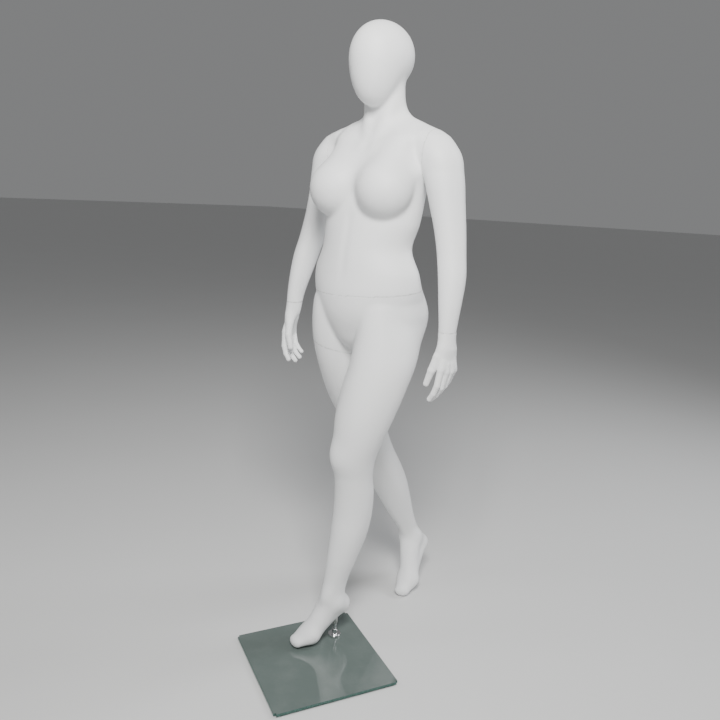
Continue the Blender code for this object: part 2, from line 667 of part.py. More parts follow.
def block(name, size, centre):
    bm = bmesh.new()
    bmesh.ops.create_cube(bm, size=1.0)
    bmesh.ops.scale(bm, verts=bm.verts, vec=size)
    bmesh.ops.translate(bm, verts=bm.verts, vec=centre)
    return bmesh_object(name, bm)


def finish(obj, name, finish_row, parent, matrix=None, smooth=40):
    """Name and colour a piece, and hang it on its body's empty."""
    obj.name = name
    obj.data.name = name
    if matrix is not None:
        obj.data.transform(matrix)
    pivot = parent.matrix_world.translation
    obj.data.transform(Matrix.Translation(-pivot))
    obj.parent = parent
    obj.data.materials.clear()
    obj.data.materials.append(make_material(finish_row))
    obj.data.shade_smooth()
    obj.data.set_sharp_from_angle(angle=radians(smooth))
    return obj


def body_empty(name, place, parent=None):
    empty = bpy.data.objects.new(name, None)
    bpy.context.scene.collection.objects.link(empty)
    empty.empty_display_size = 0.05
    empty.parent = parent
    empty.location = place - (parent.matrix_world.translation if parent else Vector())
    bpy.context.view_layer.update()
    return empty


# ---------------------------------------------------------------- shells and hands
def closed_form(name, field, low, high, cell, triangles):
    """One closed body from the zero of the field, simplified to about so many triangles."""
    net = mesh_object(name, *surface_net(field, low, high, cell))
    remesh = net.modifiers.new("remesh", "REMESH")
    remesh.mode = "VOXEL"
    remesh.voxel_size = cell * 0.8
    apply_modifiers(net)
    body = mesh_object(name, *loose_parts(net)[0])
    bpy.data.objects.remove(net)
    simplify(body, triangles)
    return body


def cavity_object():
    """The hollow inside the skin."""
    def cavity_field(points):
        return body_field(points) + WALL

    return closed_form("cavity", cavity_field, *FIGURE_BOX, SKIN_CELL, CAVITY_TRIANGLES)


def copy_object(obj):
    copy = obj.copy()
    copy.data = obj.data.copy()
    bpy.context.scene.collection.objects.link(copy)
    return copy


def sawn_shells(cavity, seams):
    """The hollow skin, bored for the foot socket and sawn at every seam into loose parts."""
    shell = closed_form("skin", body_field, *FIGURE_BOX, SKIN_CELL, SKIN_TRIANGLES)
    boolean(shell, copy_object(cavity), "DIFFERENCE")
    bore = cylinder("bore", SOCKET_RADIUS + KERF, SOLE_Z / 2, ROD_TOP + 4 * SOCKET_CAP)
    boolean(shell, at_rod(bore), "DIFFERENCE")
    for seam in seams:
        boolean(shell, saw_cut(seam), "DIFFERENCE")
    parts = loose_parts(shell)
    bpy.data.objects.remove(shell)
    return parts


def nearest_part(parts, landmark):
    """The loose part that has a vertex nearest to the landmark."""
    def distance(part):
        return min((v - landmark).length for v in part[0])

    return min(parts, key=distance)


def hand_object(side, seam):
    """One solid hand, cut level at the wrist and bored for its fitting's flange."""
    stub_top = seam["centre"].z + HAND_STUB

    def field(points):
        return np.maximum(arm_field(points.astype(np.float32), side, True),
                          points[:, 2] - stub_top)

    low, high = HAND_BOX
    if side < 0:
        low, high = (-high[0], low[1], low[2]), (-low[0], high[1], high[2])
    hand = closed_form("hand", field, low, high, HAND_CELL, HAND_TRIANGLES)
    top = seam["centre"].z - KERF / 2
    width, depth, height = (b - a for a, b in zip(low, high))
    forearm = block("forearm", (width, 2 * depth, height), (seam["centre"].x, 0.0, top + height / 2))
    boolean(hand, forearm, "DIFFERENCE")
    radius = FITTING_RADIUS["wrist"]
    bore = cylinder("bore", radius + KERF, -PANEL_SETBACK - PANEL_THICKNESS - KERF,
                    2 * PANEL_SETBACK)
    bore.data.transform(seam_matrix(seam))
    boolean(hand, bore, "DIFFERENCE")
    return hand


# ---------------------------------------------------------------- seam panels and fittings
def seam_panel(cavity, seam, key_side, radius):
    """The flat panel that closes a shell behind its seam, bored for the fitting."""
    side = -1.0 if key_side else 1.0
    middle = side * (PANEL_SETBACK + PANEL_THICKNESS / 2)
    bm = bmesh.new()
    bmesh.ops.create_cone(bm, cap_ends=True, segments=OVAL_SEGMENTS, radius1=1.0, radius2=1.0,
                          depth=PANEL_THICKNESS)
    reach = seam.get("panel_reach", seam["reach"])
    bmesh.ops.scale(bm, verts=bm.verts, vec=(reach[0], reach[1], 1.0))
    bmesh.ops.translate(bm, verts=bm.verts, vec=(0.0, 0.0, middle))
    bmesh.ops.transform(bm, matrix=seam_matrix(seam), verts=bm.verts)
    plate = bmesh_object("plate", bm)
    boolean(plate, copy_object(cavity), "INTERSECT")
    panel = mesh_object("panel", *loose_parts(plate)[0])
    bpy.data.objects.remove(plate)

    panel.data.transform(seam_matrix(seam).inverted())
    xs = [v.co.x for v in panel.data.vertices]
    ys = [v.co.y for v in panel.data.vertices]
    centre = Vector(((min(xs) + max(xs)) / 2, (min(ys) + max(ys)) / 2, 0.0))
    half = min(max(xs) - min(xs), max(ys) - min(ys)) / 2
    shrink = 1.0 - PANEL_CLEARANCE / half
    panel.data.transform(Matrix.Translation(centre) @ Matrix.Diagonal((shrink, shrink, 1.0, 1.0))
                         @ Matrix.Translation(-centre))
    bore = cylinder("bore", radius + KERF, middle - PANEL_THICKNESS, middle + PANEL_THICKNESS)
    boolean(panel, bore, "DIFFERENCE")
    panel.data.transform(seam_matrix(seam))
    return panel


def lock_key(radius):
    """Flange, neck and cross bar of a twist lock, along +Z from the seam plane."""
    neck = radius * LOCK_NECK
    plate = max(radius * LOCK_SHEET, LEAST_FACE)
    bar_bottom = PANEL_SETBACK + plate + LOCK_PLAY
    bar_top = bar_bottom + radius * LOCK_BAR_THICKNESS
    flange = -PANEL_SETBACK
    key = turned("key", ((0.0, flange - PANEL_THICKNESS), (radius, flange - PANEL_THICKNESS),
                         (radius, flange), (neck, flange), (neck, bar_top), (0.0, bar_top)))
    bar = block("bar", (radius * LOCK_BAR_LENGTH, radius * LOCK_BAR_WIDTH, bar_top - bar_bottom),
                (0.0, 0.0, (bar_bottom + bar_top) / 2))
    boolean(key, bar, "UNION")
    return key


def lock_socket(radius, free_turn):
    """Slotted cup that the key's cross bar turns in; the slot lies free_turn from the bar."""
    plate = max(radius * LOCK_SHEET, LEAST_FACE)
    wall = max(radius * LOCK_SHEET, LEAST_WALL)
    depth = plate + radius * LOCK_BAR_THICKNESS + 2 * LOCK_PLAY
    face, neck = PANEL_SETBACK, radius * LOCK_NECK + NECK_PLAY
    cup = turned("socket", ((neck, face), (radius, face), (radius, face + depth + plate),
                            (0.0, face + depth + plate), (0.0, face + depth),
                            (radius - wall, face + depth), (radius - wall, face + plate),
                            (neck, face + plate)))
    slot = block("slot", (radius * LOCK_SLOT_LENGTH, radius * LOCK_BAR_WIDTH + 2 * LOCK_PLAY,
                          plate + PANEL_SETBACK), (0.0, 0.0, face + plate / 2))
    slot.data.transform(Matrix.Rotation(free_turn, 4, "Z"))
    boolean(cup, slot, "DIFFERENCE")
    return cup


# ---------------------------------------------------------------- base
def at_rod(obj):
    obj.data.transform(Matrix.Translation(ROD_AXIS))
    return obj


def glass_plate():
    bm = bmesh.new()
    bmesh.ops.create_cube(bm, size=1.0)
    bmesh.ops.scale(bm, verts=bm.verts, vec=(GLASS_SIDE, GLASS_SIDE, GLASS_THICKNESS))
    corners = [e for e in bm.edges if abs(e.verts[0].co.z - e.verts[1].co.z) > GLASS_THICKNESS / 2]
    bmesh.ops.bevel(bm, geom=corners, offset=GLASS_CORNER, segments=3, affect="EDGES")
    rims = [e for e in bm.edges
            if abs(e.verts[0].co.z - e.verts[1].co.z) < 1e-6 and len(e.link_faces) == 2
            and abs(abs(e.verts[0].co.z) - GLASS_THICKNESS / 2) < 1e-6]
    bmesh.ops.bevel(bm, geom=rims, offset=GLASS_ARRIS, segments=1, affect="EDGES")
    bmesh.ops.transform(bm, verts=bm.verts, matrix=Matrix.Translation(
        GLASS_CENTRE + Vector((0, 0, PAD_HEIGHT + GLASS_THICKNESS / 2)))
        @ Matrix.Rotation(GLASS_TURN, 4, "Z"))
    plate = bmesh_object("glass_plate", bm)
    boolean(plate, at_rod(cylinder("bore", GLASS_BORE, 0.0, 2 * GLASS_TOP)), "DIFFERENCE")
    return plate


def corner_pads():
    reach = GLASS_SIDE / 2 - PAD_INSET
    for x, y in ((-1, -1), (1, -1), (1, 1), (-1, 1)):
        pad = cylinder("pad", PAD_RADIUS, 0.0, PAD_HEIGHT - KERF, 14)
        pad.data.transform(Matrix.Translation(GLASS_CENTRE) @ Matrix.Rotation(GLASS_TURN, 4, "Z")
                           @ Matrix.Translation((x * reach, y * reach, 0.0)))
        yield pad


def gasket(bottom):
    edge, top = FLANGE_RADIUS - 0.001, bottom + GASKET_THICKNESS
    return at_rod(turned("gasket", ((SHANK_BORE, bottom), (edge, bottom), (edge, top),
                                    (SHANK_BORE, top))))


def base_flange(bottom):
    """Disc with a fillet up to the collar that the rod stands in, drilled for the set screw."""
    top = bottom + FLANGE_THICKNESS
    chamfer, fillet, lip = 0.0015, 0.002, 0.0008
    floor = ROD_BOTTOM - KERF
    flange = at_rod(turned("flange", (
        (SHANK_BORE, bottom), (FLANGE_RADIUS, bottom), (FLANGE_RADIUS, top - chamfer),
        (FLANGE_RADIUS - chamfer, top), (COLLAR_RADIUS + fillet, top),
        (COLLAR_RADIUS, top + fillet), (COLLAR_RADIUS, COLLAR_TOP - lip),
        (COLLAR_RADIUS - lip, COLLAR_TOP), (ROD_RADIUS + KERF, COLLAR_TOP),
        (ROD_RADIUS + KERF, floor), (SHANK_BORE, floor)), 26))
    hole = screw_cylinder("hole", SCREW_RADIUS + KERF, ROD_RADIUS, COLLAR_RADIUS + fillet)
    boolean(flange, hole, "DIFFERENCE")
    return flange


def support_rod():
    return at_rod(turned("rod", (
        (0.0, ROD_BOTTOM), (ROD_RADIUS, ROD_BOTTOM), (ROD_RADIUS, ROD_TOP - ROD_POINT),
        (ROD_RADIUS - ROD_POINT, ROD_TOP), (0.0, ROD_TOP))))


def bolt_and_washer():
    """Low-headed bolt up through the glass into the flange, and the washer under the glass."""
    glass_face = PAD_HEIGHT - KERF
    washer_face = glass_face - WASHER_THICKNESS
    head_top = washer_face - KERF
    washer = turned("washer", ((SHANK_BORE, washer_face), (WASHER_RADIUS, washer_face),
                               (WASHER_RADIUS, glass_face), (SHANK_BORE, glass_face)))
    shank_top = ROD_BOTTOM - 2 * KERF
    bolt = turned("bolt", (
        (0.0, BOLT_HEAD_BOTTOM), (BOLT_HEAD_RADIUS - BOLT_CHAMFER[0], BOLT_HEAD_BOTTOM),
        (BOLT_HEAD_RADIUS, BOLT_HEAD_BOTTOM + BOLT_CHAMFER[1]), (BOLT_HEAD_RADIUS, head_top),
        (SHANK_RADIUS, head_top), (SHANK_RADIUS, shank_top), (0.0, shank_top)))
    return at_rod(bolt), at_rod(washer)


def base_pieces():
    """Every piece of the base with its finish, by name."""
    gasket_bottom = GLASS_TOP + KERF
    bolt, washer = bolt_and_washer()
    pieces = {"glass_plate": (glass_plate(), GLASS),
              "flange_gasket": (gasket(gasket_bottom), RUBBER),
              "base_flange": (base_flange(gasket_bottom + GASKET_THICKNESS + KERF), CHROME),
              "support_rod": (support_rod(), CHROME),
              "bolt_washer": (washer, STEEL),
              "base_bolt": (bolt, STEEL)}
    for i, pad in enumerate(corner_pads()):
        pieces[f"corner_pad_{i + 1}"] = (pad, RUBBER)
    return pieces


def screw_cylinder(name, radius, start, end, segments=12):
    """A level cylinder out from the rod's axis at the set screw's height."""
    pin = cylinder(name, radius, start, end, segments)
    turn = Vector((0, 0, 1)).rotation_difference(SCREW_DIRECTION).to_matrix().to_4x4()
    pin.data.transform(Matrix.Translation(ROD_AXIS + Vector((0, 0, SCREW_Z))) @ turn)
    return pin


def set_screw():
    outer = COLLAR_RADIUS + SCREW_PROUD
    screw = screw_cylinder("screw", SCREW_RADIUS, ROD_RADIUS + KERF, outer)
    key_hole = screw_cylinder("key_hole", HEX_RADIUS, outer - HEX_DEPTH, outer + HEX_DEPTH, 6)
    boolean(screw, key_hole, "DIFFERENCE")
    return screw


def foot_socket():
    """Blind steel tube in the left ankle, open at the sole, that stands on the rod."""
    top = ROD_TOP + KERF
    tube = turned("foot_socket", (
        (SOCKET_BORE, SOLE_Z), (SOCKET_RADIUS, SOLE_Z), (SOCKET_RADIUS, top + SOCKET_CAP),
        (0.0, top + SOCKET_CAP), (0.0, top), (SOCKET_BORE, top)))
    return at_rod(tube)


# ---------------------------------------------------------------- assembly
def main():
    clear_scene()
    right_shoulder = mirror_seam(SHOULDER_SEAM)
    right_wrist = mirror_seam(WRIST_SEAM)
    base = body_empty("base", Vector())
    lower_body = body_empty("lower_body", ROD_AXIS + Vector((0, 0, ROD_TOP)), base)
    torso = body_empty("upper_body", WAIST_SEAM["centre"], lower_body)
    right_leg = body_empty("right_leg_joint", THIGH_SEAM["centre"], lower_body)
    arms = {"left": body_empty("left_arm_joint", SHOULDER_SEAM["centre"], torso),
            "right": body_empty("right_arm_joint", right_shoulder["centre"], torso)}
    hands = {"left": body_empty("left_hand_joint", WRIST_SEAM["centre"], arms["left"]),
             "right": body_empty("right_hand_joint", right_wrist["centre"], arms["right"])}
    screw_place = ROD_AXIS + SCREW_DIRECTION * COLLAR_RADIUS + Vector((0, 0, SCREW_Z))
    screw_joint = body_empty("set_screw_joint", screw_place, base)

    # seam name: seam, fitting, turn that frees the lock, key-side body, socket-side body
    joints = {
        "waist": (WAIST_SEAM, "waist", -WAIST_TURN, torso, lower_body),
        "thigh": (THIGH_SEAM, "thigh", THIGH_TURN, right_leg, lower_body),
        "left_shoulder": (SHOULDER_SEAM, "shoulder", -SHOULDER_TURN, arms["left"], torso),
        "right_shoulder": (right_shoulder, "shoulder", SHOULDER_TURN, arms["right"], torso),
        "left_wrist": (WRIST_SEAM, "wrist", WRIST_TURN, hands["left"], arms["left"]),
        "right_wrist": (right_wrist, "wrist", -WRIST_TURN, hands["right"], arms["right"]),
    }
    cavity = cavity_object()
    parts = sawn_shells(cavity, [row[0] for row in joints.values()])
    landmarks = {
        "torso_head_shell": (Vector((0.0, 0.03, 1.77)), torso),
        "hip_left_leg_shell": (Vector((0.10, -0.14, 0.80)), lower_body),
        "right_leg_shell": (Vector((-0.07, 0.20, 0.60)), right_leg),
        "left_arm_shell": (Vector((0.28, 0.04, 1.18)), arms["left"]),
        "right_arm_shell": (Vector((-0.28, 0.04, 1.18)), arms["right"]),
    }
    for name, (landmark, parent) in landmarks.items():
        shell = mesh_object(name, *nearest_part(parts, landmark))
        finish(shell, name, PAINT, parent, smooth=50)

    for name, (seam, fitting, turn, key_body, socket_body) in joints.items():
        radius = FITTING_RADIUS[fitting]
        key, socket = lock_key(radius), lock_socket(radius, turn)
        finish(key, f"{name}_lock_key", STEEL, key_body, seam_matrix(seam))
        finish(socket, f"{name}_lock_socket", STEEL, socket_body, seam_matrix(seam))
        finish(seam_panel(cavity, seam, False, radius), f"{name}_socket_panel", PANEL_PAINT,
               socket_body)
        if fitting != "wrist":
            finish(seam_panel(cavity, seam, True, radius), f"{name}_key_panel", PANEL_PAINT,
                   key_body)
    bpy.data.objects.remove(cavity)

    for side, sign, seam in (("left", 1, WRIST_SEAM), ("right", -1, right_wrist)):
        finish(hand_object(sign, seam), f"{side}_hand", PAINT, hands[side], smooth=50)
    finish(foot_socket(), "foot_socket", STEEL, lower_body)
    for name, (piece, finish_row) in base_pieces().items():
        finish(piece, name, finish_row, base)
    finish(set_screw(), "flange_set_screw", STEEL, screw_joint)


main()
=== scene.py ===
"""The looks of the full body mannequin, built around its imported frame.

The shells' fine skins and the hands are meshed from the same smooth field as the model's own,
sawn at the same seams and given turned-in rims.  The glass, its pads, the chrome flange and the
rod are modelled anew; the panels and locks inside keep their own shapes.
"""
from math import cos, pi, radians, sin

import bmesh
import bpy
import numpy as np
from mathutils import Matrix, Vector


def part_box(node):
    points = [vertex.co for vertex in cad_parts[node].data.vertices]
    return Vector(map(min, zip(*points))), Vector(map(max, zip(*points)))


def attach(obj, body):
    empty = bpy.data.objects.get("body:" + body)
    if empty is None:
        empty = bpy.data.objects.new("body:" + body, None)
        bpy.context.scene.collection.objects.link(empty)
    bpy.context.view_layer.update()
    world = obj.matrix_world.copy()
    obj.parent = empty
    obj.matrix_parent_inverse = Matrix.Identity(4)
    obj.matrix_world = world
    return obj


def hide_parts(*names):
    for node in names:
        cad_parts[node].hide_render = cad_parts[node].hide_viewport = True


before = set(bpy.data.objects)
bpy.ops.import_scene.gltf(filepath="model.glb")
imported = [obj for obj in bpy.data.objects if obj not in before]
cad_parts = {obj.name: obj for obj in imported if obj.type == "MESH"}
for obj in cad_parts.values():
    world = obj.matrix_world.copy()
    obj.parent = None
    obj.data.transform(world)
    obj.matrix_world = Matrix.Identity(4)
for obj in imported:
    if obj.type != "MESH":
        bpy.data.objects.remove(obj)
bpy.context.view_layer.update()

# ---------------------------------------------------------------- sizes
WALL = 0.0045                 # moulded fibreglass wall
KERF = 0.0003                 # gap between two pieces that meet
SKIN_CELL = 0.0042            # meshing cell of the figure
HAND_CELL = 0.0018            # meshing cell of the hands
FIGURE_BOX = ((-0.34, -0.26, -0.01), (0.34, 0.46, 1.80))
HAND_BOX = ((0.19, -0.12, 0.76), (0.33, 0.07, 1.03))
HAND_STUB = 0.012             # forearm meshed above the wrist seam, then cut away
SAW_BAND = 0.03               # faces this near a seam are tried by the saw

# A shell's rim, from its skin inwards: how far in from the skin, how far back from the seam.
RIM_ROWS = ((0.0, 0.00045), (0.0004, KERF / 2), (WALL, KERF / 2), (WALL, 0.012))

GLASS_SIDE = 0.360
GLASS_TURN = radians(-27.7)
GLASS_CORNER = 0.006
GLASS_ARRIS = 0.0009
TURNED_SEGMENTS = 96
PAD_SEGMENTS = 48
ROD_SEGMENTS = 64
PAD_ROUNDING = 0.0008         # bottom edge of a pad
PAD_TOP_ROUNDING = 0.0006
PAD_TAPER = 0.0004            # how much narrower a pad is at its top edge
ROD_ROUNDING = 0.002
DISC_THICKNESS = 0.004        # the flange, outwards from its bore
DISC_ROUNDING = 0.0014
DISC_UNDERCUT = 0.0004
COLLAR_RADIUS = 0.0075
COLLAR_FILLET = 0.002
COLLAR_ROUNDING = 0.0008
BORE_RADIUS = 0.0048
BORE_CHAMFER = 0.0001
BORE_CHAMFER_DEPTH = 0.0002
BORE_FLOOR = 0.0202
BOLT_HOLE_RADIUS = 0.0034
FIGURE_SHARP_ANGLE = 50       # degrees past which an edge is shaded sharp
SHARP_ANGLE = 40
TURNED_SHARP_ANGLE = 45
GLASS_SHARP_ANGLE = 30

# ---------------------------------------------------------------- figure, section by section
# Each station: height, centre x, centre y, then the section's reach to the right (-X),
# left (+X), front (-Y) and back (+Y).
TORSO = (
    (0.885, 0.000, 0.000, 0.026, 0.026, 0.040, 0.050),
    (0.915, 0.000, -0.002, 0.060, 0.060, 0.070, 0.085),
    (0.955, 0.000, 0.004, 0.108, 0.108, 0.100, 0.118),
    (1.000, 0.000, 0.006, 0.139, 0.149, 0.120, 0.132),
    (1.050, 0.000, 0.002, 0.155, 0.165, 0.122, 0.128),
    (1.110, 0.000, -0.002, 0.161, 0.163, 0.112, 0.110),
    (1.180, 0.000, -0.001, 0.138, 0.134, 0.104, 0.092),
    (1.250, 0.000, 0.008, 0.141, 0.147, 0.101, 0.100),
    (1.320, 0.000, 0.020, 0.147, 0.148, 0.100, 0.112),
    (1.380, 0.000, 0.030, 0.149, 0.150, 0.094, 0.108),
    (1.430, 0.000, 0.040, 0.146, 0.146, 0.080, 0.094),
    (1.465, 0.000, 0.048, 0.130, 0.130, 0.060, 0.078),
    (1.490, 0.000, 0.052, 0.095, 0.095, 0.046, 0.062),
)
NECK = (
    (1.420, 0.000, 0.054, 0.064, 0.064, 0.054, 0.060),
    (1.470, 0.000, 0.056, 0.062, 0.062, 0.046, 0.059),
    (1.520, 0.000, 0.050, 0.058, 0.058, 0.042, 0.056),
    (1.580, 0.000, 0.040, 0.057, 0.057, 0.044, 0.053),
    (1.640, 0.000, 0.035, 0.056, 0.056, 0.045, 0.052),
)
LEFT_LEG = (
    (1.060, 0.080, 0.005, 0.060, 0.074, 0.100, 0.112),
    (0.990, 0.084, 0.002, 0.070, 0.077, 0.108, 0.119),
    (0.930, 0.087, -0.009, 0.078, 0.086, 0.106, 0.116),
    (0.870, 0.087, -0.027, 0.080, 0.092, 0.100, 0.108),
    (0.800, 0.079, -0.049, 0.084, 0.091, 0.092, 0.098),
    (0.720, 0.068, -0.071, 0.079, 0.084, 0.081, 0.089),
    (0.650, 0.059, -0.085, 0.066, 0.071, 0.068, 0.078),
    (0.595, 0.053, -0.086, 0.058, 0.059, 0.062, 0.065),
    (0.540, 0.047, -0.079, 0.052, 0.054, 0.057, 0.061),
    (0.480, 0.042, -0.070, 0.052, 0.055, 0.054, 0.071),
    (0.420, 0.036, -0.068, 0.051, 0.056, 0.050, 0.077),
    (0.350, 0.029, -0.074, 0.047, 0.053, 0.047, 0.080),
    (0.270, 0.019, -0.085, 0.038, 0.043, 0.041, 0.065),
    (0.200, 0.010, -0.093, 0.032, 0.034, 0.037, 0.045),
    (0.150, 0.007, -0.096, 0.031, 0.031, 0.045, 0.034),
    (0.115, 0.005, -0.096, 0.028, 0.028, 0.041, 0.028),
)
RIGHT_LEG = (
    (1.060, -0.080, 0.005, 0.072, 0.060, 0.100, 0.112),
    (0.990, -0.086, 0.007, 0.070, 0.070, 0.107, 0.118),
    (0.930, -0.091, 0.015, 0.070, 0.078, 0.106, 0.114),
    (0.870, -0.091, 0.029, 0.072, 0.080, 0.103, 0.106),
    (0.800, -0.087, 0.051, 0.077, 0.083, 0.096, 0.096),
    (0.720, -0.080, 0.082, 0.081, 0.079, 0.087, 0.088),
    (0.650, -0.073, 0.109, 0.069, 0.066, 0.074, 0.080),
    (0.580, -0.065, 0.140, 0.059, 0.058, 0.065, 0.073),
    (0.520, -0.059, 0.170, 0.053, 0.053, 0.060, 0.077),
    (0.460, -0.053, 0.204, 0.053, 0.053, 0.061, 0.082),
    (0.400, -0.047, 0.239, 0.053, 0.053, 0.065, 0.078),
    (0.330, -0.040, 0.283, 0.047, 0.047, 0.066, 0.055),
    (0.260, -0.033, 0.323, 0.037, 0.037, 0.058, 0.036),
    (0.200, -0.026, 0.353, 0.031, 0.031, 0.044, 0.030),
    (0.160, -0.021, 0.364, 0.029, 0.029, 0.037, 0.026),
)
LEFT_ARM = (
    (1.475, 0.172, 0.052, 0.030, 0.030, 0.035, 0.040),
    (1.445, 0.180, 0.053, 0.050, 0.047, 0.055, 0.058),
    (1.380, 0.197, 0.053, 0.053, 0.050, 0.058, 0.060),
    (1.310, 0.213, 0.050, 0.046, 0.046, 0.052, 0.055),
    (1.240, 0.230, 0.045, 0.039, 0.042, 0.045, 0.048),
    (1.180, 0.243, 0.038, 0.035, 0.040, 0.040, 0.043),
    (1.120, 0.255, 0.028, 0.032, 0.039, 0.039, 0.041),
    (1.060, 0.265, 0.015, 0.029, 0.031, 0.034, 0.035),
    (1.000, 0.271, 0.004, 0.023, 0.024, 0.028, 0.027),
    (0.960, 0.273, -0.001, 0.021, 0.021, 0.024, 0.024),
    (0.935, 0.274, -0.003, 0.018, 0.019, 0.022, 0.022),
)
RIGHT_ARM_REACH = 0.97        # the right elbow is bent a little more than the left
RIGHT_ARM_INWARD = 0.007      # and its upper half hangs a little closer to the body
SHOULDER_Z = 1.400

LEFT_FOOT = {"ankle": (0.004, -0.098, 0.130), "heel": (0.012, -0.067, 0.113),
             "ball": (-0.020, -0.166, 0.0415), "toe": (-0.036, -0.206, 0.0285), "yaw": -18}
RIGHT_FOOT = {"ankle": (-0.021, 0.362, 0.165), "heel": (-0.009, 0.407, 0.128),
              "ball": (0.025, 0.294, 0.043), "toe": (0.032, 0.248, 0.0180), "yaw": 18}

# The left hand, from its wrist: t towards the thumb, n out of the back of the hand,
# d down the fingers.  The right hand is its mirror image.
WRIST = np.array((0.2725, -0.001, 0.972))
HAND_DOWN = np.array((0.03, -0.10, -1.0)) / np.linalg.norm((0.03, -0.10, -1.0))
HAND_BACK = np.array((0.97, -0.25, 0.0))
HAND_BACK = HAND_BACK - HAND_DOWN * np.dot(HAND_DOWN, HAND_BACK)
HAND_BACK /= np.linalg.norm(HAND_BACK)
HAND_THUMB = np.cross(HAND_DOWN, HAND_BACK)
# Each finger: knuckle t, n, d; the three bones' lengths; their curls and the splay in degrees;
# radius.
FINGERS = (
    (0.0185, 0.009, 0.092, (0.042, 0.025, 0.020), (6, 22, 36), 4, 0.0088),
    (0.0010, 0.012, 0.096, (0.045, 0.027, 0.021), (14, 34, 48), 2, 0.0090),
    (-0.0165, 0.011, 0.095, (0.042, 0.025, 0.020), (19, 40, 52), 3, 0.0086),
    (-0.0325, 0.007, 0.091, (0.037, 0.019, 0.017), (21, 42, 52), 6, 0.0078),
)
THUMB = ((0.004, 0.000, 0.020), (0.021, -0.004, 0.058), (0.032, -0.011, 0.095),
         (0.034, -0.024, 0.132))
THUMB_RADII = (0.0150, 0.0118, 0.0100, 0.0080)

# The body's midline grooves: side (front -1, back 1), width, depth, bottom, top, run-out.
MIDLINE_GROOVES = (
    (-1, 0.012, 0.0022, 1.110, 1.270, 0.030),
    (1, 0.017, 0.0050, 1.080, 1.420, 0.050),
    (1, 0.011, 0.0120, 0.900, 1.010, 0.030),
)

# ---------------------------------------------------------------- seams and joints
# Each seam: centre, direction out of the piece that carries the key, half width and half
# length of the saw cut (along the two directions across the seam).
WAIST_SEAM = {"centre": Vector((0.0, 0.000, 1.064)), "normal": Vector((0.03, 0.085, -1.0)),
              "reach": (0.205, 0.170)}
THIGH_SEAM = {"centre": Vector((-0.093, 0.026, 0.893)), "normal": Vector((0.27, 0.03, 1.0)),
              "reach": (0.0975, 0.135)}
SHOULDER_SEAM = {"centre": Vector((0.1590, 0.053, 1.425)), "normal": Vector((-1.0, 0.0, 0.08)),
                 "reach": (0.114, 0.076), "panel_reach": (0.050, 0.038)}
WRIST_SEAM = {"centre": Vector((0.2715, 0.001, 0.980)), "normal": Vector((0.0, 0.0, 1.0)),
              "reach": (0.040, 0.040)}


# ---------------------------------------------------------------- field helpers
def smooth_min(a, b, k):
    """Union of two fields with a fillet of size k."""
    h = np.maximum(k - np.abs(a - b), 0.0) / k
    return np.minimum(a, b) - h * h * h * k / 6.0


def smooth_max(a, b, k):
    return -smooth_min(-a, -b, k)


def mirrored(points):
    return points * np.array((-1.0, 1.0, 1.0), np.float32)


def ellipsoid(points, centre, radii):
    q = points - np.array(centre, np.float32)
    r = np.array(radii, np.float32)
    a = np.sqrt(np.sum((q / r) ** 2, axis=1))
    b = np.sqrt(np.sum((q / r ** 2) ** 2, axis=1)) + 1e-6
    return a * (a - 1.0) / b


def tapered_rod(points, start, end, start_radius, end_radius, flat=None, flatness=1.0):
    """A rod with round ends; across the direction `flat` it is `flatness` times as thick."""
    start = np.array(start, np.float32)
    axis = np.array(end, np.float32) - start
    q = points - start
    t = np.clip(q @ axis / np.dot(axis, axis), 0.0, 1.0)
    r = q - t[:, None] * axis
    if flat is not None:
        n = np.array(flat, np.float32)
        r = r + ((r @ n) * (1.0 / flatness - 1.0))[:, None] * n
    return np.sqrt(np.sum(r * r, axis=1)) - (start_radius + (end_radius - start_radius) * t)


def station_curve(stations, heights):
    """The stations' values at any height, on a smooth curve through them."""
    table = np.array(sorted(stations), float)
    x, y = table[:, 0], table[:, 1:]
    step = np.diff(x)[:, None]
    slope = np.diff(y, axis=0) / step
    tangent = np.vstack((slope[:1],
                         (slope[:-1] * step[1:] + slope[1:] * step[:-1]) / (step[1:] + step[:-1]),
                         slope[-1:]))
    i = np.clip(np.searchsorted(x, heights) - 1, 0, len(x) - 2)
    h = step[i]
    u = (np.clip(heights, x[0], x[-1]) - x[i])[:, None] / h
    return ((2 * u ** 3 - 3 * u ** 2 + 1) * y[i] + (u ** 3 - 2 * u ** 2 + u) * h * tangent[i]
            + (3 * u ** 2 - 2 * u ** 3) * y[i + 1] + (u ** 3 - u ** 2) * h * tangent[i + 1])


def loft(points, stations, end_rounding):
    """A limb through level sections, each made of four quarter ellipses."""
    z = points[:, 2]
    low, high = sorted((stations[0][0], stations[-1][0]))
    heights = np.linspace(low, high, 400)
    table = station_curve(stations, heights)
    cx, cy, right, left, front, back = (
        np.interp(z, heights, table[:, i]).astype(np.float32) for i in range(6))
    dx, dy = points[:, 0] - cx, points[:, 1] - cy
    rx = np.where(dx > 0, left, right)
    ry = np.where(dy > 0, back, front)
    a = np.sqrt((dx / rx) ** 2 + (dy / ry) ** 2)
    b = np.sqrt((dx / rx ** 2) ** 2 + (dy / ry ** 2) ** 2) + 1e-6
    return smooth_max(a * (a - 1.0) / b, np.maximum(z - high, low - z), end_rounding)


# ---------------------------------------------------------------- the figure's forms
def fade(values, low, high):
    """0 below low, 1 above high, and a smooth rise between them."""
    t = np.clip((values - low) / (high - low), 0.0, 1.0)
    return t * t * (3.0 - 2.0 * t)


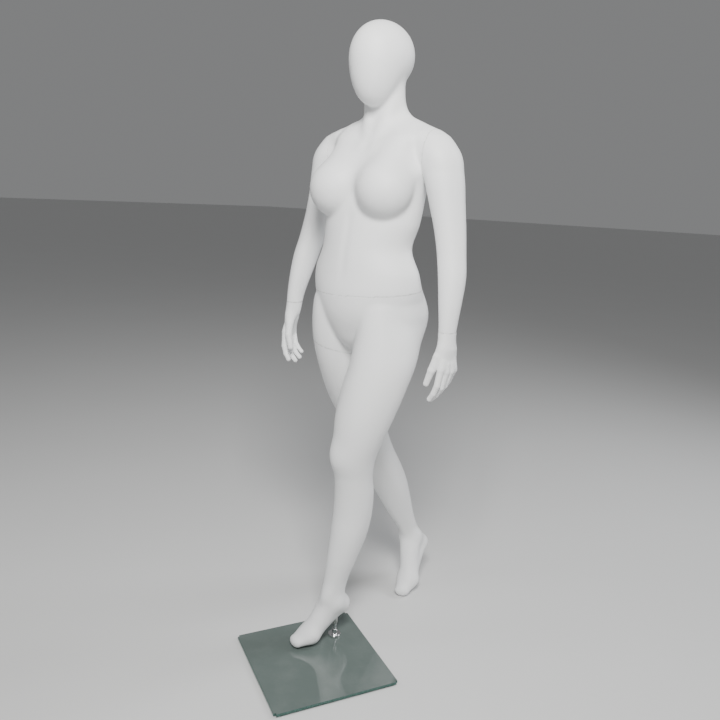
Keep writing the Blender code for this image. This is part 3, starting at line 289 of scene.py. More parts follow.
def groove(points, side, width, depth, bottom, top, run_out):
    """How far the skin sinks along the body's midline, at the front (-1) or the back (1)."""
    x, y, z = points.T
    along = fade(z, bottom - run_out, bottom + run_out) - fade(z, top - run_out, top + run_out)
    return depth * np.exp(-(x / width) ** 2) * along * fade(side * y, 0.02, 0.06)


def torso_field(points):
    d = loft(points, TORSO, 0.04)
    for side in (1, -1):
        glute = ellipsoid(points, (side * 0.072, 0.072, 0.990), (0.078, 0.074, 0.088))
        yoke = tapered_rod(points, (0, 0.058, 1.480), (side * 0.158, 0.053, 1.452), 0.048, 0.043)
        trapezius = tapered_rod(points, (side * 0.020, 0.066, 1.532), (side * 0.125, 0.060, 1.473),
                                0.022, 0.022)
        d = smooth_min(d, glute, 0.07)
        d = smooth_min(d, yoke, 0.05)
        d = smooth_min(d, trapezius, 0.06)
    return d


def breast_field(points, side):
    d = ellipsoid(points, (side * 0.080, -0.052, 1.330), (0.069, 0.066, 0.070))
    slope = tapered_rod(points, (side * 0.080, -0.045, 1.345), (side * 0.088, 0.012, 1.440),
                        0.061, 0.034)
    tail = tapered_rod(points, (side * 0.084, -0.043, 1.337), (side * 0.118, 0.002, 1.378),
                       0.059, 0.031)
    return smooth_min(smooth_min(d, slope, 0.060), tail, 0.030)


def neck_field(points):
    """The neck, its two tendons that meet at the breastbone, and the collarbones."""
    d = loft(points, NECK, 0.03)
    for side in (1, -1):
        tendon = tapered_rod(points, (side * 0.036, 0.027, 1.560), (side * 0.012, -0.006, 1.452),
                             0.011, 0.009)
        collarbone = tapered_rod(points, (side * 0.022, -0.018, 1.443),
                                 (side * 0.135, 0.020, 1.470), 0.009, 0.010)
        d = smooth_min(d, tendon, 0.030)
        d = smooth_min(d, collarbone, 0.026)
    return d


def head_field(points):
    skull = ellipsoid(points, (0, 0.026, 1.683), (0.0755, 0.096, 0.084))
    brow = ellipsoid(points, (0, -0.008, 1.684), (0.060, 0.060, 0.068))
    face = ellipsoid(points, (0, -0.012, 1.630), (0.058, 0.058, 0.079))
    return smooth_min(smooth_min(skull, brow, 0.04), face, 0.06)


def foot_field(points, foot):
    yaw = radians(foot["yaw"])
    across = np.array((cos(yaw), sin(yaw), 0.0))
    ankle, heel, ball, toe = (np.array(foot[name]) for name in ("ankle", "heel", "ball", "toe"))
    d = tapered_rod(points, heel, (ankle + heel) / 2, 0.0255, 0.029)
    d = smooth_min(d, tapered_rod(points, ankle, ball, 0.032, 0.0212, across, 1.18), 0.034)
    d = smooth_min(d, tapered_rod(points, heel, ball, 0.0235, 0.021, across, 1.15), 0.030)
    d = smooth_min(d, tapered_rod(points, ball, toe, 0.0225, 0.0165, across, 1.50), 0.030)
    for side in (1, -1):
        malleolus = ellipsoid(points, ankle + across * side * 0.024, (0.014, 0.014, 0.018))
        d = smooth_min(d, malleolus, 0.020)
    return d


def hand_point(t, n, d):
    return WRIST + HAND_THUMB * t + HAND_BACK * n + HAND_DOWN * d


def finger_joints(knuckle, lengths, curls, splay):
    joints = [knuckle]
    aside = radians(splay)
    for length, curl in zip(lengths, curls):
        bend = radians(curl)
        along = HAND_DOWN * cos(aside) + HAND_THUMB * sin(aside)
        joints.append(joints[-1] + (along * cos(bend) - HAND_BACK * sin(bend)) * length)
    return joints


def hand_field(points):
    d = tapered_rod(points, hand_point(0, 0, -0.03), hand_point(-0.003, 0.005, 0.035),
                    0.0230, 0.0265, HAND_BACK, 0.64)
    for wrist_t, knuckle_t, radius in ((0.003, 0.009, 0.0180), (-0.012, -0.021, 0.0175)):
        palm = tapered_rod(points, hand_point(wrist_t, 0.003, 0.040),
                           hand_point(knuckle_t, 0.008, 0.084), 0.0215, radius, HAND_BACK, 0.62)
        d = smooth_min(d, palm, 0.02)
    fingers = None
    for t, n, down, lengths, curls, splay, radius in FINGERS:
        joints = finger_joints(hand_point(t, n, down), lengths, curls, splay)
        finger = tapered_rod(points, hand_point(t * 0.8, n, down - 0.02), joints[0],
                             radius * 0.9, radius * 1.06)
        for i, (a, b) in enumerate(zip(joints[:-1], joints[1:])):
            bone = tapered_rod(points, a, b, radius * (1.04 - 0.1 * i), radius * (0.97 - 0.1 * i))
            finger = smooth_min(finger, bone, 0.003)
        fingers = finger if fingers is None else smooth_min(fingers, finger, 0.003)
    d = smooth_min(d, fingers, 0.010)
    joints = [hand_point(*place) for place in THUMB]
    for i in range(3):
        bone = tapered_rod(points, joints[i], joints[i + 1], THUMB_RADII[i], THUMB_RADII[i + 1])
        d = smooth_min(d, bone, 0.012 if i == 0 else 0.005)
    return d


def arm_points(points, side):
    """Points as the left arm's own form sees them, for either arm."""
    if side > 0:
        return points
    q = mirrored(points)
    q[:, 0] += RIGHT_ARM_INWARD * fade(q[:, 2], 1.14, 1.28) * (1.0 - fade(q[:, 2], 1.32, 1.42))
    below = np.minimum(q[:, 2] - SHOULDER_Z, 0.0)
    q[:, 2] += below * (1.0 / RIGHT_ARM_REACH - 1.0)
    return q


def arm_field(points, side, with_hand):
    q = arm_points(points, side)
    d = loft(q, LEFT_ARM, 0.02)
    if with_hand:
        d = smooth_min(d, hand_field(q), 0.012)
    return d


def body_field(points):
    """The whole skin but the hands, which are finer and are meshed on their own."""
    points = points.astype(np.float32)
    off_centre, y, z = np.abs(points[:, 0]), points[:, 1], points[:, 2]
    d = smooth_min(torso_field(points), neck_field(points), 0.045)
    at_shoulder = fade(z, 1.33, 1.42)
    over_breast = fade(z, 1.29, 1.40) * (1.0 - fade(off_centre, 0.10, 0.15))
    for side in (1, -1):
        d = smooth_min(d, breast_field(points, side), 0.018 + 0.062 * over_breast)
    for side in (1, -1):
        d = smooth_min(d, arm_field(points, side, False), 0.004 + 0.030 * at_shoulder)
    d = smooth_min(d, head_field(points), 0.018)
    legs = smooth_min(loft(points, LEFT_LEG, 0.05), loft(points, RIGHT_LEG, 0.05), 0.004)
    at_hip = 1.0 - fade(z, 0.99, 1.06)
    d = smooth_min(d, legs, 0.014 + 0.036 * fade(y, -0.08, 0.0) * at_hip - 0.010 * (1.0 - at_hip))
    d = smooth_min(d, ellipsoid(points, (0.038, -0.118, 0.607), (0.034, 0.034, 0.046)), 0.04)
    for line in MIDLINE_GROOVES:
        d = d + groove(points, *line)
    for foot in (LEFT_FOOT, RIGHT_FOOT):
        d = smooth_min(d, foot_field(points, foot), 0.030)
    return d


# ---------------------------------------------------------------- meshing the field
def field_slope(field, points, step=0.0008):
    slopes = []
    for axis in range(3):
        shift = np.zeros(3, np.float32)
        shift[axis] = step
        slopes.append((field(points + shift) - field(points - shift)) / (2 * step))
    return np.stack(slopes, axis=1)


def lattice_values(field, low, shape, cell, block=8):
    """Field values on a lattice, worked out only in the blocks that the skin can cross."""
    values = np.full(shape, 1.0, np.float32)
    blocks = [np.arange(0, n, block) for n in shape]
    corners = np.stack(np.meshgrid(*blocks, indexing="ij"), -1).reshape(-1, 3)
    middles = (low + (corners + block / 2) * cell).astype(np.float32)
    reach = block * cell * 1.5
    at_middle = field(middles)
    for corner, value in zip(corners, at_middle):
        if value < -reach:
            i, j, k = corner
            values[i:i + block, j:j + block, k:k + block] = -1.0
    near = corners[np.abs(at_middle) <= reach]
    offsets = np.stack(np.meshgrid(*[np.arange(block)] * 3, indexing="ij"), -1).reshape(-1, 3)
    for start in range(0, len(near), 400):
        index = (near[start:start + 400, None, :] + offsets[None]).reshape(-1, 3)
        index = index[np.all(index < np.array(shape), axis=1)]
        found = field((low + index * cell).astype(np.float32))
        values[index[:, 0], index[:, 1], index[:, 2]] = found
    return values


def surface_net(field, low, high, cell):
    """Quads over the zero of the field: a vertex in each cell that the skin crosses."""
    low = np.array(low, float)
    shape = tuple(int(n) for n in np.ceil((np.array(high) - low) / cell) + 1)
    values = lattice_values(field, low, shape, cell)
    inside = values < 0
    corner_steps = np.array([(i, j, k) for i in (0, 1) for j in (0, 1) for k in (0, 1)])
    total = np.zeros(tuple(n - 1 for n in shape), np.int8)
    for i, j, k in corner_steps:
        total += inside[i:shape[0] - 1 + i, j:shape[1] - 1 + j, k:shape[2] - 1 + k]
    cells = np.argwhere((total > 0) & (total < 8))
    number = np.full(total.shape, -1, np.int64)
    number[tuple(cells.T)] = np.arange(len(cells))

    crossing_sum = np.zeros((len(cells), 3))
    crossing_count = np.zeros(len(cells))
    for a in corner_steps:
        for axis in range(3):
            if a[axis]:
                continue
            b = a.copy()
            b[axis] = 1
            va = values[tuple((cells + a).T)]
            vb = values[tuple((cells + b).T)]
            crossed = (va < 0) != (vb < 0)
            t = np.where(crossed, va / np.where(crossed, va - vb, 1.0), 0.0)
            place = cells + a + t[:, None] * (b - a)
            crossing_sum[crossed] += place[crossed]
            crossing_count += crossed
    vertices = low + crossing_sum / crossing_count[:, None] * cell

    quads = []
    for axis in range(3):
        u, v = (axis + 1) % 3, (axis + 2) % 3
        here = [slice(0, n) for n in shape]
        there = [slice(0, n) for n in shape]
        here[axis], there[axis] = slice(0, shape[axis] - 1), slice(1, shape[axis])
        edges = np.argwhere(inside[tuple(here)] != inside[tuple(there)])
        edges = edges[(edges[:, u] > 0) & (edges[:, v] > 0)]
        starts_inside = inside[tuple(edges.T)]
        ring = []
        for du, dv in ((1, 1), (0, 1), (0, 0), (1, 0)):
            cell_index = edges.copy()
            cell_index[:, u] -= du
            cell_index[:, v] -= dv
            ring.append(number[tuple(cell_index.T)])
        ring = np.stack(ring, axis=1)
        ring[~starts_inside] = ring[~starts_inside][:, ::-1]
        quads.append(ring)
    quads = np.concatenate(quads)

    for _ in range(3):
        near = vertices.astype(np.float32)
        slope = field_slope(field, near)
        steepness = np.maximum(np.sum(slope * slope, axis=1), 0.05)
        move = -(field(near) / steepness)[:, None] * slope
        vertices += np.clip(move, -cell * 0.4, cell * 0.4)
    return vertices, quads


# ---------------------------------------------------------------- meshes
def mesh_object(name, vertices, faces):
    mesh = bpy.data.meshes.new(name)
    mesh.from_pydata([tuple(v) for v in vertices], [], [tuple(int(i) for i in f) for f in faces])
    mesh.update()
    obj = bpy.data.objects.new(name, mesh)
    bpy.context.scene.collection.objects.link(obj)
    return obj


def bmesh_object(name, bm):
    mesh = bpy.data.meshes.new(name)
    bm.to_mesh(mesh)
    bm.free()
    obj = bpy.data.objects.new(name, mesh)
    bpy.context.scene.collection.objects.link(obj)
    return obj


def net_bmesh(field, low, high, cell):
    net = mesh_object("net", *surface_net(field, low, high, cell))
    bm = bmesh.new()
    bm.from_mesh(net.data)
    bpy.data.objects.remove(net)
    return bm


def seam_axes(normal):
    """Three rows: the two directions across the seam, then the seam's own direction."""
    z = Vector(normal).normalized()
    x = Vector((0.0, 0.0, 1.0)) if abs(z.z) < 0.5 else Vector((1.0, 0.0, 0.0))
    x = (x - z * x.dot(z)).normalized()
    return np.array((x, z.cross(x), z))


def mirror_seam(seam):
    """The same seam on the right side, with the right arm's shorter reach."""
    centre, normal = list(seam["centre"]), list(seam["normal"])
    centre[0], normal[0] = -centre[0], -normal[0]
    if centre[2] < SHOULDER_Z:
        centre[2] = SHOULDER_Z + (centre[2] - SHOULDER_Z) * RIGHT_ARM_REACH
    return dict(seam, centre=tuple(centre), normal=tuple(normal))


def saw(bm, seam):
    """Split the mesh along the seam's plane, only inside the seam's oval."""
    axes = seam_axes(seam["normal"])
    bm.verts.ensure_lookup_table()
    bm.verts.index_update()
    local = (np.array([v.co for v in bm.verts]) - np.array(seam["centre"])) @ axes.T
    reach = seam["reach"]
    near = (local[:, 0] / reach[0]) ** 2 + (local[:, 1] / reach[1]) ** 2 < 1.0
    near &= np.abs(local[:, 2]) < SAW_BAND
    faces = [f for f in bm.faces if all(near[v.index] for v in f.verts)]
    edges = list({e for f in faces for e in f.edges})
    verts = list({v for f in faces for v in f.verts})
    cut = bmesh.ops.bisect_plane(bm, geom=faces + edges + verts, dist=1e-6,
                                 plane_co=Vector(seam["centre"]), plane_no=Vector(axes[2]))
    lips = [g for g in cut["geom_cut"] if isinstance(g, bmesh.types.BMEdge)]
    bmesh.ops.split_edges(bm, edges=lips)


def connected_parts(bm):
    """The mesh's connected pieces, as lists of faces."""
    bm.faces.index_update()
    seen = np.zeros(len(bm.faces), bool)
    parts = []
    for start in bm.faces:
        if seen[start.index]:
            continue
        seen[start.index] = True
        stack, part = [start], []
        while stack:
            face = stack.pop()
            part.append(face)
            for edge in face.edges:
                for other in edge.link_faces:
                    if not seen[other.index]:
                        seen[other.index] = True
                        stack.append(other)
        parts.append(part)
    return parts


def part_mesh(faces):
    """A new bmesh of only these faces."""
    part = bmesh.new()
    made = {}
    for face in faces:
        for v in face.verts:
            if v not in made:
                made[v] = part.verts.new(v.co)
        part.faces.new([made[v] for v in face.verts])
    part.normal_update()
    return part


def rim_edges(part, centre, normal, reach):
    """The open edges that lie in this seam's plane, within its reach."""
    def at_seam(v):
        return abs((v.co - centre).dot(normal)) < 2e-5 and (v.co - centre).length < reach

    return [e for e in part.edges if e.is_boundary and all(at_seam(v) for v in e.verts)]


def turn_in_rims(part, seams):
    """Round each open edge over at its seam and carry it inside as the wall's thickness."""
    wear = part.verts.layers.float.new("wear")
    for seam in seams:
        centre, normal = Vector(seam["centre"]), Vector(seam_axes(seam["normal"])[2])
        rim = rim_edges(part, centre, normal, max(seam["reach"]) * 1.05)
        if not rim:
            continue
        winding = {}
        for e in rim:
            a, b = e.verts
            corners = list(e.link_faces[0].verts)
            if corners[(corners.index(a) + 1) % len(corners)] is b:
                a, b = b, a
            winding[e] = (a, b)
        place, outward, side = {}, {}, 0.0
        for v in {v for e in rim for v in e.verts}:
            slope = sum((f.normal for f in v.link_faces), Vector())
            place[v] = v.co.copy()
            outward[v] = (slope - normal * slope.dot(normal)).normalized()
            side += sum((f.calc_center_median() - centre).dot(normal) for f in v.link_faces)
        back = normal if side > 0 else -normal
        ring = {v: v for v in place}
        for v in place:
            v[wear] = 1.0
            v.co = place[v] - outward[v] * RIM_ROWS[0][0] + back * RIM_ROWS[0][1]
        for inset, depth in RIM_ROWS[1:]:
            new = {v: part.verts.new(place[v] - outward[v] * inset + back * depth) for v in place}
            for v in new.values():
                v[wear] = 1.0
            for e in rim:
                a, b = winding[e]
                part.faces.new((ring[a], ring[b], new[b], new[a]))
            ring = new
    part.normal_update()


def shade(obj, sharp_angle):
    obj.data.shade_smooth()
    obj.data.set_sharp_from_angle(angle=radians(sharp_angle))


# ---------------------------------------------------------------- materials
class Surface:
    """A new material's Principled shader, with short ways to add nodes to it."""

    def __init__(self, name, colour, roughness, metallic=0.0):
        self.material = bpy.data.materials.new(name)
        self.material.use_nodes = True
        self.tree = self.material.node_tree
        self.shader = self.tree.nodes["Principled BSDF"]
        self.set(**{"Base Color": (*colour, 1.0), "Roughness": roughness, "Metallic": metallic})
        self.place = self.add("ShaderNodeTexCoord").outputs["Object"]

    def set(self, **values):
        for socket, value in values.items():
            self.shader.inputs[socket].default_value = value

    def add(self, kind, **inputs):
        node = self.tree.nodes.new(kind)
        for socket, value in inputs.items():
            self.feed(node.inputs[socket.replace("_", " ")], value)
        return node

    def feed(self, socket, value):
        if isinstance(value, bpy.types.NodeSocket):
            self.tree.links.new(value, socket)
        else:
            socket.default_value = value

    def link(self, socket, value):
        self.tree.links.new(value, self.shader.inputs[socket])

    def noise(self, scale, detail=2.0, rough=0.5):
        return self.add("ShaderNodeTexNoise", Vector=self.place, Scale=scale, Detail=detail,
                        Roughness=rough).outputs["Fac"]

    def ramp(self, value, low, high, to_low=0.0, to_high=1.0):
        node = self.add("ShaderNodeMapRange", Value=value, From_Min=low, From_Max=high,
                        To_Min=to_low, To_Max=to_high)
        return node.outputs["Result"]

    def mix(self, factor, a, b):
        """Blend of two colours; the colour sockets come after the number and vector ones."""
        node = self.tree.nodes.new("ShaderNodeMix")
        node.data_type = "RGBA"
        self.feed(node.inputs[0], factor)
        self.feed(node.inputs[6], (*a, 1.0) if isinstance(a, tuple) else a)
        self.feed(node.inputs[7], (*b, 1.0) if isinstance(b, tuple) else b)
        return node.outputs[2]

    def times(self, a, b):
        node = self.tree.nodes.new("ShaderNodeMath")
        node.operation = "MULTIPLY"
        self.feed(node.inputs[0], a)
        self.feed(node.inputs[1], b)
        return node.outputs["Value"]

    def bumps(self, *layers):
        """Bump layers, each (height, strength, distance), one on the other."""
        under = None
        for height, strength, distance in layers:
            bump = self.add("ShaderNodeBump", Height=height, Strength=strength, Distance=distance)
            if under is not None:
                self.tree.links.new(under, bump.inputs["Normal"])
            under = bump.outputs["Normal"]
        self.link("Normal", under)


def paint():
    """Sprayed matte white: a faint orange peel, hand-sanded waves, and rubbed seam edges."""
    s = Surface("matte_white_paint", (0.80, 0.81, 0.815), 0.55)
    s.set(**{"Specular IOR Level": 0.42})
    cloud = s.ramp(s.noise(7.0, 3.0), 0.3, 0.7)
    tint = s.mix(cloud, (0.795, 0.802, 0.808), (0.815, 0.818, 0.815))
    rubbed = s.add("ShaderNodeAttribute")
    rubbed.attribute_name = "wear"
    scuff = s.times(s.ramp(s.noise(140.0, 4.0, 0.7), 0.35, 0.6), rubbed.outputs["Fac"])
    s.link("Base Color", s.mix(scuff, tint, (0.56, 0.56, 0.55)))
    s.link("Roughness", s.ramp(s.noise(22.0, 4.0), 0.3, 0.7, 0.50, 0.60))
    s.bumps((s.noise(9.0, 2.0), 0.25, 0.004), (s.noise(650.0, 2.0), 0.10, 0.0004))
    return s.material


def fibreglass():
    """The raw grey seam panels: chopped-strand mat under resin."""
    s = Surface("panel_grey", (0.55, 0.55, 0.54), 0.6)
    strands = s.add("ShaderNodeTexVoronoi", Vector=s.place, Scale=170.0).outputs["Distance"]
    s.link("Base Color", s.mix(s.ramp(strands, 0.1, 0.7), (0.62, 0.62, 0.60), (0.44, 0.44, 0.43)))
    s.link("Roughness", s.ramp(s.noise(60.0, 3.0), 0.3, 0.7, 0.45, 0.7))
    s.bumps((strands, 0.5, 0.0010), (s.noise(400.0), 0.25, 0.0005))
    return s.material


def plated_steel():
    """Zinc-plated pressings, with fine brushing and dull patches."""
    s = Surface("plated_steel", (0.60, 0.60, 0.585), 0.35, 1.0)
    patch = s.ramp(s.noise(45.0, 5.0, 0.6), 0.35, 0.65)
    s.link("Base Color", s.mix(patch, (0.63, 0.63, 0.615), (0.53, 0.53, 0.53)))
    s.link("Roughness", s.ramp(patch, 0.0, 1.0, 0.28, 0.46))
    s.bumps((s.noise(900.0, 3.0), 0.20, 0.0002))
    return s.material


def chrome():
    """Polished chrome with faint wipe marks."""
    s = Surface("chrome", (0.78, 0.785, 0.79), 0.07, 1.0)
    smear = s.ramp(s.noise(55.0, 4.0, 0.6), 0.4, 0.75)
    s.link("Base Color", s.mix(smear, (0.80, 0.805, 0.81), (0.74, 0.74, 0.745)))
    s.link("Roughness", s.ramp(smear, 0.0, 1.0, 0.05, 0.16))
    s.bumps((s.noise(120.0, 2.0), 0.05, 0.0005))
    return s.material


def glass():
    """Thick float glass, grey-green and glossy, with faint smears on it."""
    s = Surface("tempered_glass", (0.36, 0.42, 0.395), 0.045)
    s.set(**{"Transmission Weight": 0.25, "IOR": 1.52, "Coat Weight": 0.5,
             "Coat Roughness": 0.03})
    smear = s.ramp(s.noise(12.0, 5.0, 0.65), 0.45, 0.75)
    s.link("Base Color", s.mix(smear, (0.135, 0.170, 0.158), (0.165, 0.200, 0.188)))
    s.link("Roughness", s.ramp(smear, 0.0, 1.0, 0.03, 0.09))
    s.bumps((s.noise(5.0, 1.0), 0.04, 0.002))
    return s.material


def glass_edge():
    """The ground and polished edge, where the glass looks deep green."""
    s = Surface("glass_edge", (0.03, 0.09, 0.08), 0.12)
    s.set(**{"IOR": 1.52})
    lines = s.ramp(s.noise(260.0, 3.0, 0.6), 0.35, 0.65)
    s.link("Base Color", s.mix(lines, (0.015, 0.055, 0.045), (0.05, 0.13, 0.11)))
    s.link("Roughness", s.ramp(lines, 0.0, 1.0, 0.08, 0.22))
    s.bumps((s.noise(800.0, 2.0), 0.10, 0.0002))
    return s.material


def rubber():
    """Clear soft rubber of the pads and the gasket."""
    s = Surface("clear_rubber", (0.62, 0.64, 0.62), 0.4)
    s.set(**{"Transmission Weight": 0.5, "IOR": 1.45})
    dust = s.ramp(s.noise(300.0, 4.0, 0.6), 0.4, 0.7)
    s.link("Base Color", s.mix(dust, (0.62, 0.65, 0.63), (0.50, 0.51, 0.50)))
    s.link("Roughness", s.ramp(dust, 0.0, 1.0, 0.30, 0.55))
    s.bumps((s.noise(600.0, 2.0), 0.15, 0.0003))
    return s.material


def floor_paint():
    s = Surface("studio_floor", (0.66, 0.66, 0.655), 0.65)
    s.link("Base Color", s.mix(s.noise(1.5, 2.0), (0.655, 0.655, 0.65), (0.675, 0.675, 0.67)))
    return s.material


MATERIALS = {"paint": paint(), "panel": fibreglass(), "steel": plated_steel(),
             "chrome": chrome(), "glass": glass(), "rubber": rubber()}


def dress(obj, node, body, slot_name, sharp_angle=SHARP_ANGLE):
    """Give a new piece its finish and shading, hang it on what it rides on, and hide the node it
    stands for.
    """
    if not obj.data.materials:
        obj.data.materials.append(MATERIALS[slot_name])
    shade(obj, sharp_angle)
    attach(obj, body)
    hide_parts(node)


# ---------------------------------------------------------------- the figure
RIGHT_SHOULDER = mirror_seam(SHOULDER_SEAM)
RIGHT_WRIST = mirror_seam(WRIST_SEAM)
SEAMS = (WAIST_SEAM, THIGH_SEAM, SHOULDER_SEAM, RIGHT_SHOULDER, WRIST_SEAM, RIGHT_WRIST)
# Each shell: the node it stands for, its body, and a place on its skin.
SHELLS = (
    ("torso_head_shell", "upper_body", (0.0, 0.03, 1.77)),
    ("hip_left_leg_shell", "lower_body", (0.10, -0.14, 0.80)),
    ("right_leg_shell", "right_leg", (-0.07, 0.20, 0.60)),
    ("left_arm_shell", "left_arm", (0.28, 0.04, 1.18)),
    ("right_arm_shell", "right_arm", (-0.28, 0.04, 1.18)),
)


def shells():
    bm = net_bmesh(body_field, *FIGURE_BOX, SKIN_CELL)
    for seam in SEAMS:
        saw(bm, seam)
    bm.normal_update()
    parts = connected_parts(bm)
    places = [np.array([f.calc_center_median() for f in part]) for part in parts]
    for node, body, landmark in SHELLS:
        distance = [np.min(np.linalg.norm(p - np.array(landmark), axis=1)) for p in places]
        part = part_mesh(parts[int(np.argmin(distance))])
        turn_in_rims(part, SEAMS)
        dress(bmesh_object(node.replace("_shell", "_skin"), part), node, body, "paint",
              FIGURE_SHARP_ANGLE)
    bm.free()


def hands():
    for side, seam, node in ((1, WRIST_SEAM, "left_hand"), (-1, RIGHT_WRIST, "right_hand")):
        stub_top = seam["centre"][2] + HAND_STUB

        def field(points):
            arm = arm_field(points.astype(np.float32), side, True)
            return np.maximum(arm, points[:, 2] - stub_top)

        low, high = HAND_BOX
        if side < 0:
            low, high = (-high[0], low[1], low[2]), (-low[0], high[1], high[2])
        bm = net_bmesh(field, low, high, HAND_CELL)
        bmesh.ops.bisect_plane(bm, geom=bm.verts[:] + bm.edges[:] + bm.faces[:], dist=1e-6,
                               plane_co=Vector(seam["centre"]), plane_no=Vector(seam["normal"]),
                               clear_outer=True)
        bm.normal_update()
        turn_in_rims(bm, (seam,))
        dress(bmesh_object(f"{node}_skin", bm), node, node, "paint", FIGURE_SHARP_ANGLE)


# ---------------------------------------------------------------- the base
def middle(node):
    low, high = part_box(node)
    return (Vector(low) + Vector(high)) / 2


def turned(name, profile, centre, segments=TURNED_SEGMENTS):
    """A closed (radius, z) outline turned about a vertical line through the centre."""
    bm = bmesh.new()
    verts = [bm.verts.new((r, 0.0, z)) for r, z in profile]
    edges = [bm.edges.new((a, b)) for a, b in zip(verts, verts[1:] + verts[:1])]
    bmesh.ops.spin(bm, geom=verts + edges, axis=(0, 0, 1), cent=(0, 0, 0), angle=2 * pi,
                   steps=segments, use_merge=True)
    bmesh.ops.remove_doubles(bm, verts=bm.verts, dist=1e-6)
    bmesh.ops.dissolve_degenerate(bm, edges=bm.edges, dist=1e-6)
    bmesh.ops.recalc_face_normals(bm, faces=bm.faces)
    bmesh.ops.translate(bm, verts=bm.verts, vec=(centre.x, centre.y, 0.0))
    return bmesh_object(name, bm)


def arc(centre_r, centre_z, radius, start, end, steps=6):
    """Points of a profile's rounded corner, between two angles in degrees."""
    angles = [radians(start + (end - start) * i / steps) for i in range(steps + 1)]
    return [(centre_r + radius * cos(a), centre_z + radius * sin(a)) for a in angles]


def glass_plate():
    """Square plate with rounded corners and narrow polished arrises all round."""
    low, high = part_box("glass_plate")
    centre = middle("glass_plate")
    bm = bmesh.new()
    bmesh.ops.create_cube(bm, size=1.0)
    bmesh.ops.scale(bm, verts=bm.verts, vec=(GLASS_SIDE, GLASS_SIDE, high[2] - low[2]))
    uprights = [e for e in bm.edges if abs(e.verts[0].co.z - e.verts[1].co.z) > GLASS_ARRIS]
    bmesh.ops.bevel(bm, geom=uprights, offset=GLASS_CORNER, segments=10, affect="EDGES")
    rims = [e for e in bm.edges if abs(e.verts[0].co.z - e.verts[1].co.z) < 1e-6]
    bmesh.ops.bevel(bm, geom=rims, offset=GLASS_ARRIS, segments=3, affect="EDGES")
    for face in bm.faces:
        face.material_index = 0 if abs(face.normal.z) > 0.99 else 1
    bmesh.ops.rotate(bm, verts=bm.verts, matrix=Matrix.Rotation(GLASS_TURN, 3, "Z"))
    bmesh.ops.translate(bm, verts=bm.verts, vec=centre)
    plate = bmesh_object("glass_plate_polished", bm)
    plate.data.materials.append(MATERIALS["glass"])
    plate.data.materials.append(glass_edge())
    dress(plate, "glass_plate", "base", "glass", GLASS_SHARP_ANGLE)


def pads():
    for i in range(1, 5):
        node = f"corner_pad_{i}"
        low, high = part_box(node)
        centre = middle(node)
        radius, height = (high[0] - low[0]) / 2, high[2]
        top_rounding_r = radius - PAD_TAPER - PAD_TOP_ROUNDING
        profile = ([(0.0, low[2])]
                   + arc(radius - PAD_ROUNDING, low[2] + PAD_ROUNDING, PAD_ROUNDING, -90, 0)
                   + arc(top_rounding_r, height - PAD_TOP_ROUNDING, PAD_TOP_ROUNDING, 0, 90)
                   + [(0.0, height)])
        dress(turned(f"{node}_bumper", profile, centre, PAD_SEGMENTS), node, "base", "rubber")


def flange():
    """Disc, fillet, collar and stepped bore of the chrome flange."""
    low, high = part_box("base_flange")
    centre = middle("base_flange")
    reach = (high[0] - low[0]) / 2
    disc_top, top = low[2] + DISC_THICKNESS, high[2]
    profile = ([(BOLT_HOLE_RADIUS, low[2]), (reach - DISC_UNDERCUT, low[2])]
               + arc(reach - DISC_ROUNDING, disc_top - DISC_ROUNDING, DISC_ROUNDING, 0, 90)
               + arc(COLLAR_RADIUS + COLLAR_FILLET, disc_top + COLLAR_FILLET, COLLAR_FILLET, -90, -180)
               + arc(COLLAR_RADIUS - COLLAR_ROUNDING, top - COLLAR_ROUNDING, COLLAR_ROUNDING, 0, 90)
               + [(BORE_RADIUS + BORE_CHAMFER, top), (BORE_RADIUS, top - BORE_CHAMFER_DEPTH),
                  (BORE_RADIUS, BORE_FLOOR), (BOLT_HOLE_RADIUS, BORE_FLOOR)])
    dress(turned("base_flange_polished", profile, centre), "base_flange", "base", "chrome",
          TURNED_SHARP_ANGLE)


def rod():
    low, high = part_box("support_rod")
    radius = (high[0] - low[0]) / 2
    profile = ([(0.0, low[2]), (radius, low[2])]
               + arc(radius - ROD_ROUNDING, high[2] - ROD_ROUNDING, ROD_ROUNDING, 0, 90)
               + [(0.0, high[2])])
    dress(turned("support_rod_polished", profile, middle("support_rod"), ROD_SEGMENTS),
          "support_rod", "base", "chrome", TURNED_SHARP_ANGLE)


def carried_nodes():
    """The nodes that keep their own shape get their slot's finish."""
    groups = {"panel": ("_panel",), "steel": ("_lock_key", "_lock_socket", "foot_socket",
              "bolt_washer", "base_bolt", "flange_set_screw"), "rubber": ("flange_gasket",)}
    for slot_name, endings in groups.items():
        for name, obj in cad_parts.items():
            if name.endswith(endings):
                obj.data.materials.clear()
                obj.data.materials.append(MATERIALS[slot_name])


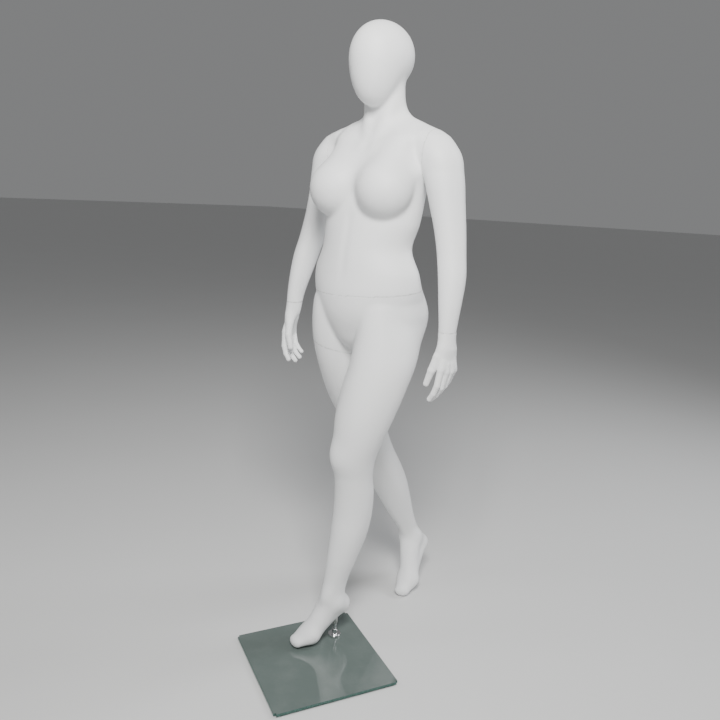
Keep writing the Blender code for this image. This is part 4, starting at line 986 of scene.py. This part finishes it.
# ---------------------------------------------------------------- studio
FLOOR_REACH = 60.0
CAMERA_PLACE = Vector((1.182, -1.580, 1.307))
CAMERA_TURN = radians(37.0)
CAMERA_PITCH = radians(12.87)
CAMERA_ROLL = radians(2.91)
WORLD_COLOUR = (0.90, 0.91, 0.92, 1.0)
WORLD_STRENGTH = 0.24
# Each light: name, place, the point it is turned to, its two sides, watts, colour.
LIGHTS = (
    ("key", (1.25, -1.65, 2.75), (0.0, 0.0, 1.6), (0.9, 0.9), 138.0, (1.0, 0.995, 0.98)),
    ("fill", (-1.7, -1.9, 1.9), (0.0, 0.0, 1.3), (0.8, 1.2), 10.0, (0.95, 0.97, 1.0)),
    ("back", (1.7, 2.4, 2.6), (0.0, 0.0, 1.2), (1.2, 1.4), 60.0, (0.95, 0.97, 1.0)),
)


def camera():
    data = bpy.data.cameras.new("camera")
    data.lens = 35.0
    data.sensor_width = 36.0
    obj = bpy.data.objects.new("camera", data)
    bpy.context.scene.collection.objects.link(obj)
    turn = Matrix.Rotation(CAMERA_TURN, 4, "Z")
    tilt = Matrix.Rotation(pi / 2 - CAMERA_PITCH, 4, "X")
    roll = Matrix.Rotation(CAMERA_ROLL, 4, "Z")
    obj.matrix_world = Matrix.Translation(CAMERA_PLACE) @ turn @ tilt @ roll
    bpy.context.scene.camera = obj


def softbox(name, place, target, size, power, colour):
    data = bpy.data.lights.new(name, "AREA")
    data.shape = "RECTANGLE"
    data.size, data.size_y = size
    data.energy = power
    data.color = colour
    obj = bpy.data.objects.new(name, data)
    bpy.context.scene.collection.objects.link(obj)
    aim = (Vector(target) - Vector(place)).to_track_quat("-Z", "Y")
    obj.matrix_world = Matrix.Translation(place) @ aim.to_matrix().to_4x4()


def studio():
    bm = bmesh.new()
    bmesh.ops.create_grid(bm, x_segments=1, y_segments=1, size=FLOOR_REACH)
    floor = bmesh_object("studio_floor", bm)
    floor.data.materials.append(floor_paint())
    world = bpy.data.worlds.new("world")
    bpy.context.scene.world = world
    world.use_nodes = True
    background = world.node_tree.nodes["Background"]
    background.inputs["Color"].default_value = WORLD_COLOUR
    background.inputs["Strength"].default_value = WORLD_STRENGTH
    for light in LIGHTS:
        softbox(*light)


shells()
hands()
glass_plate()
pads()
flange()
rod()
carried_nodes()
studio()
camera()
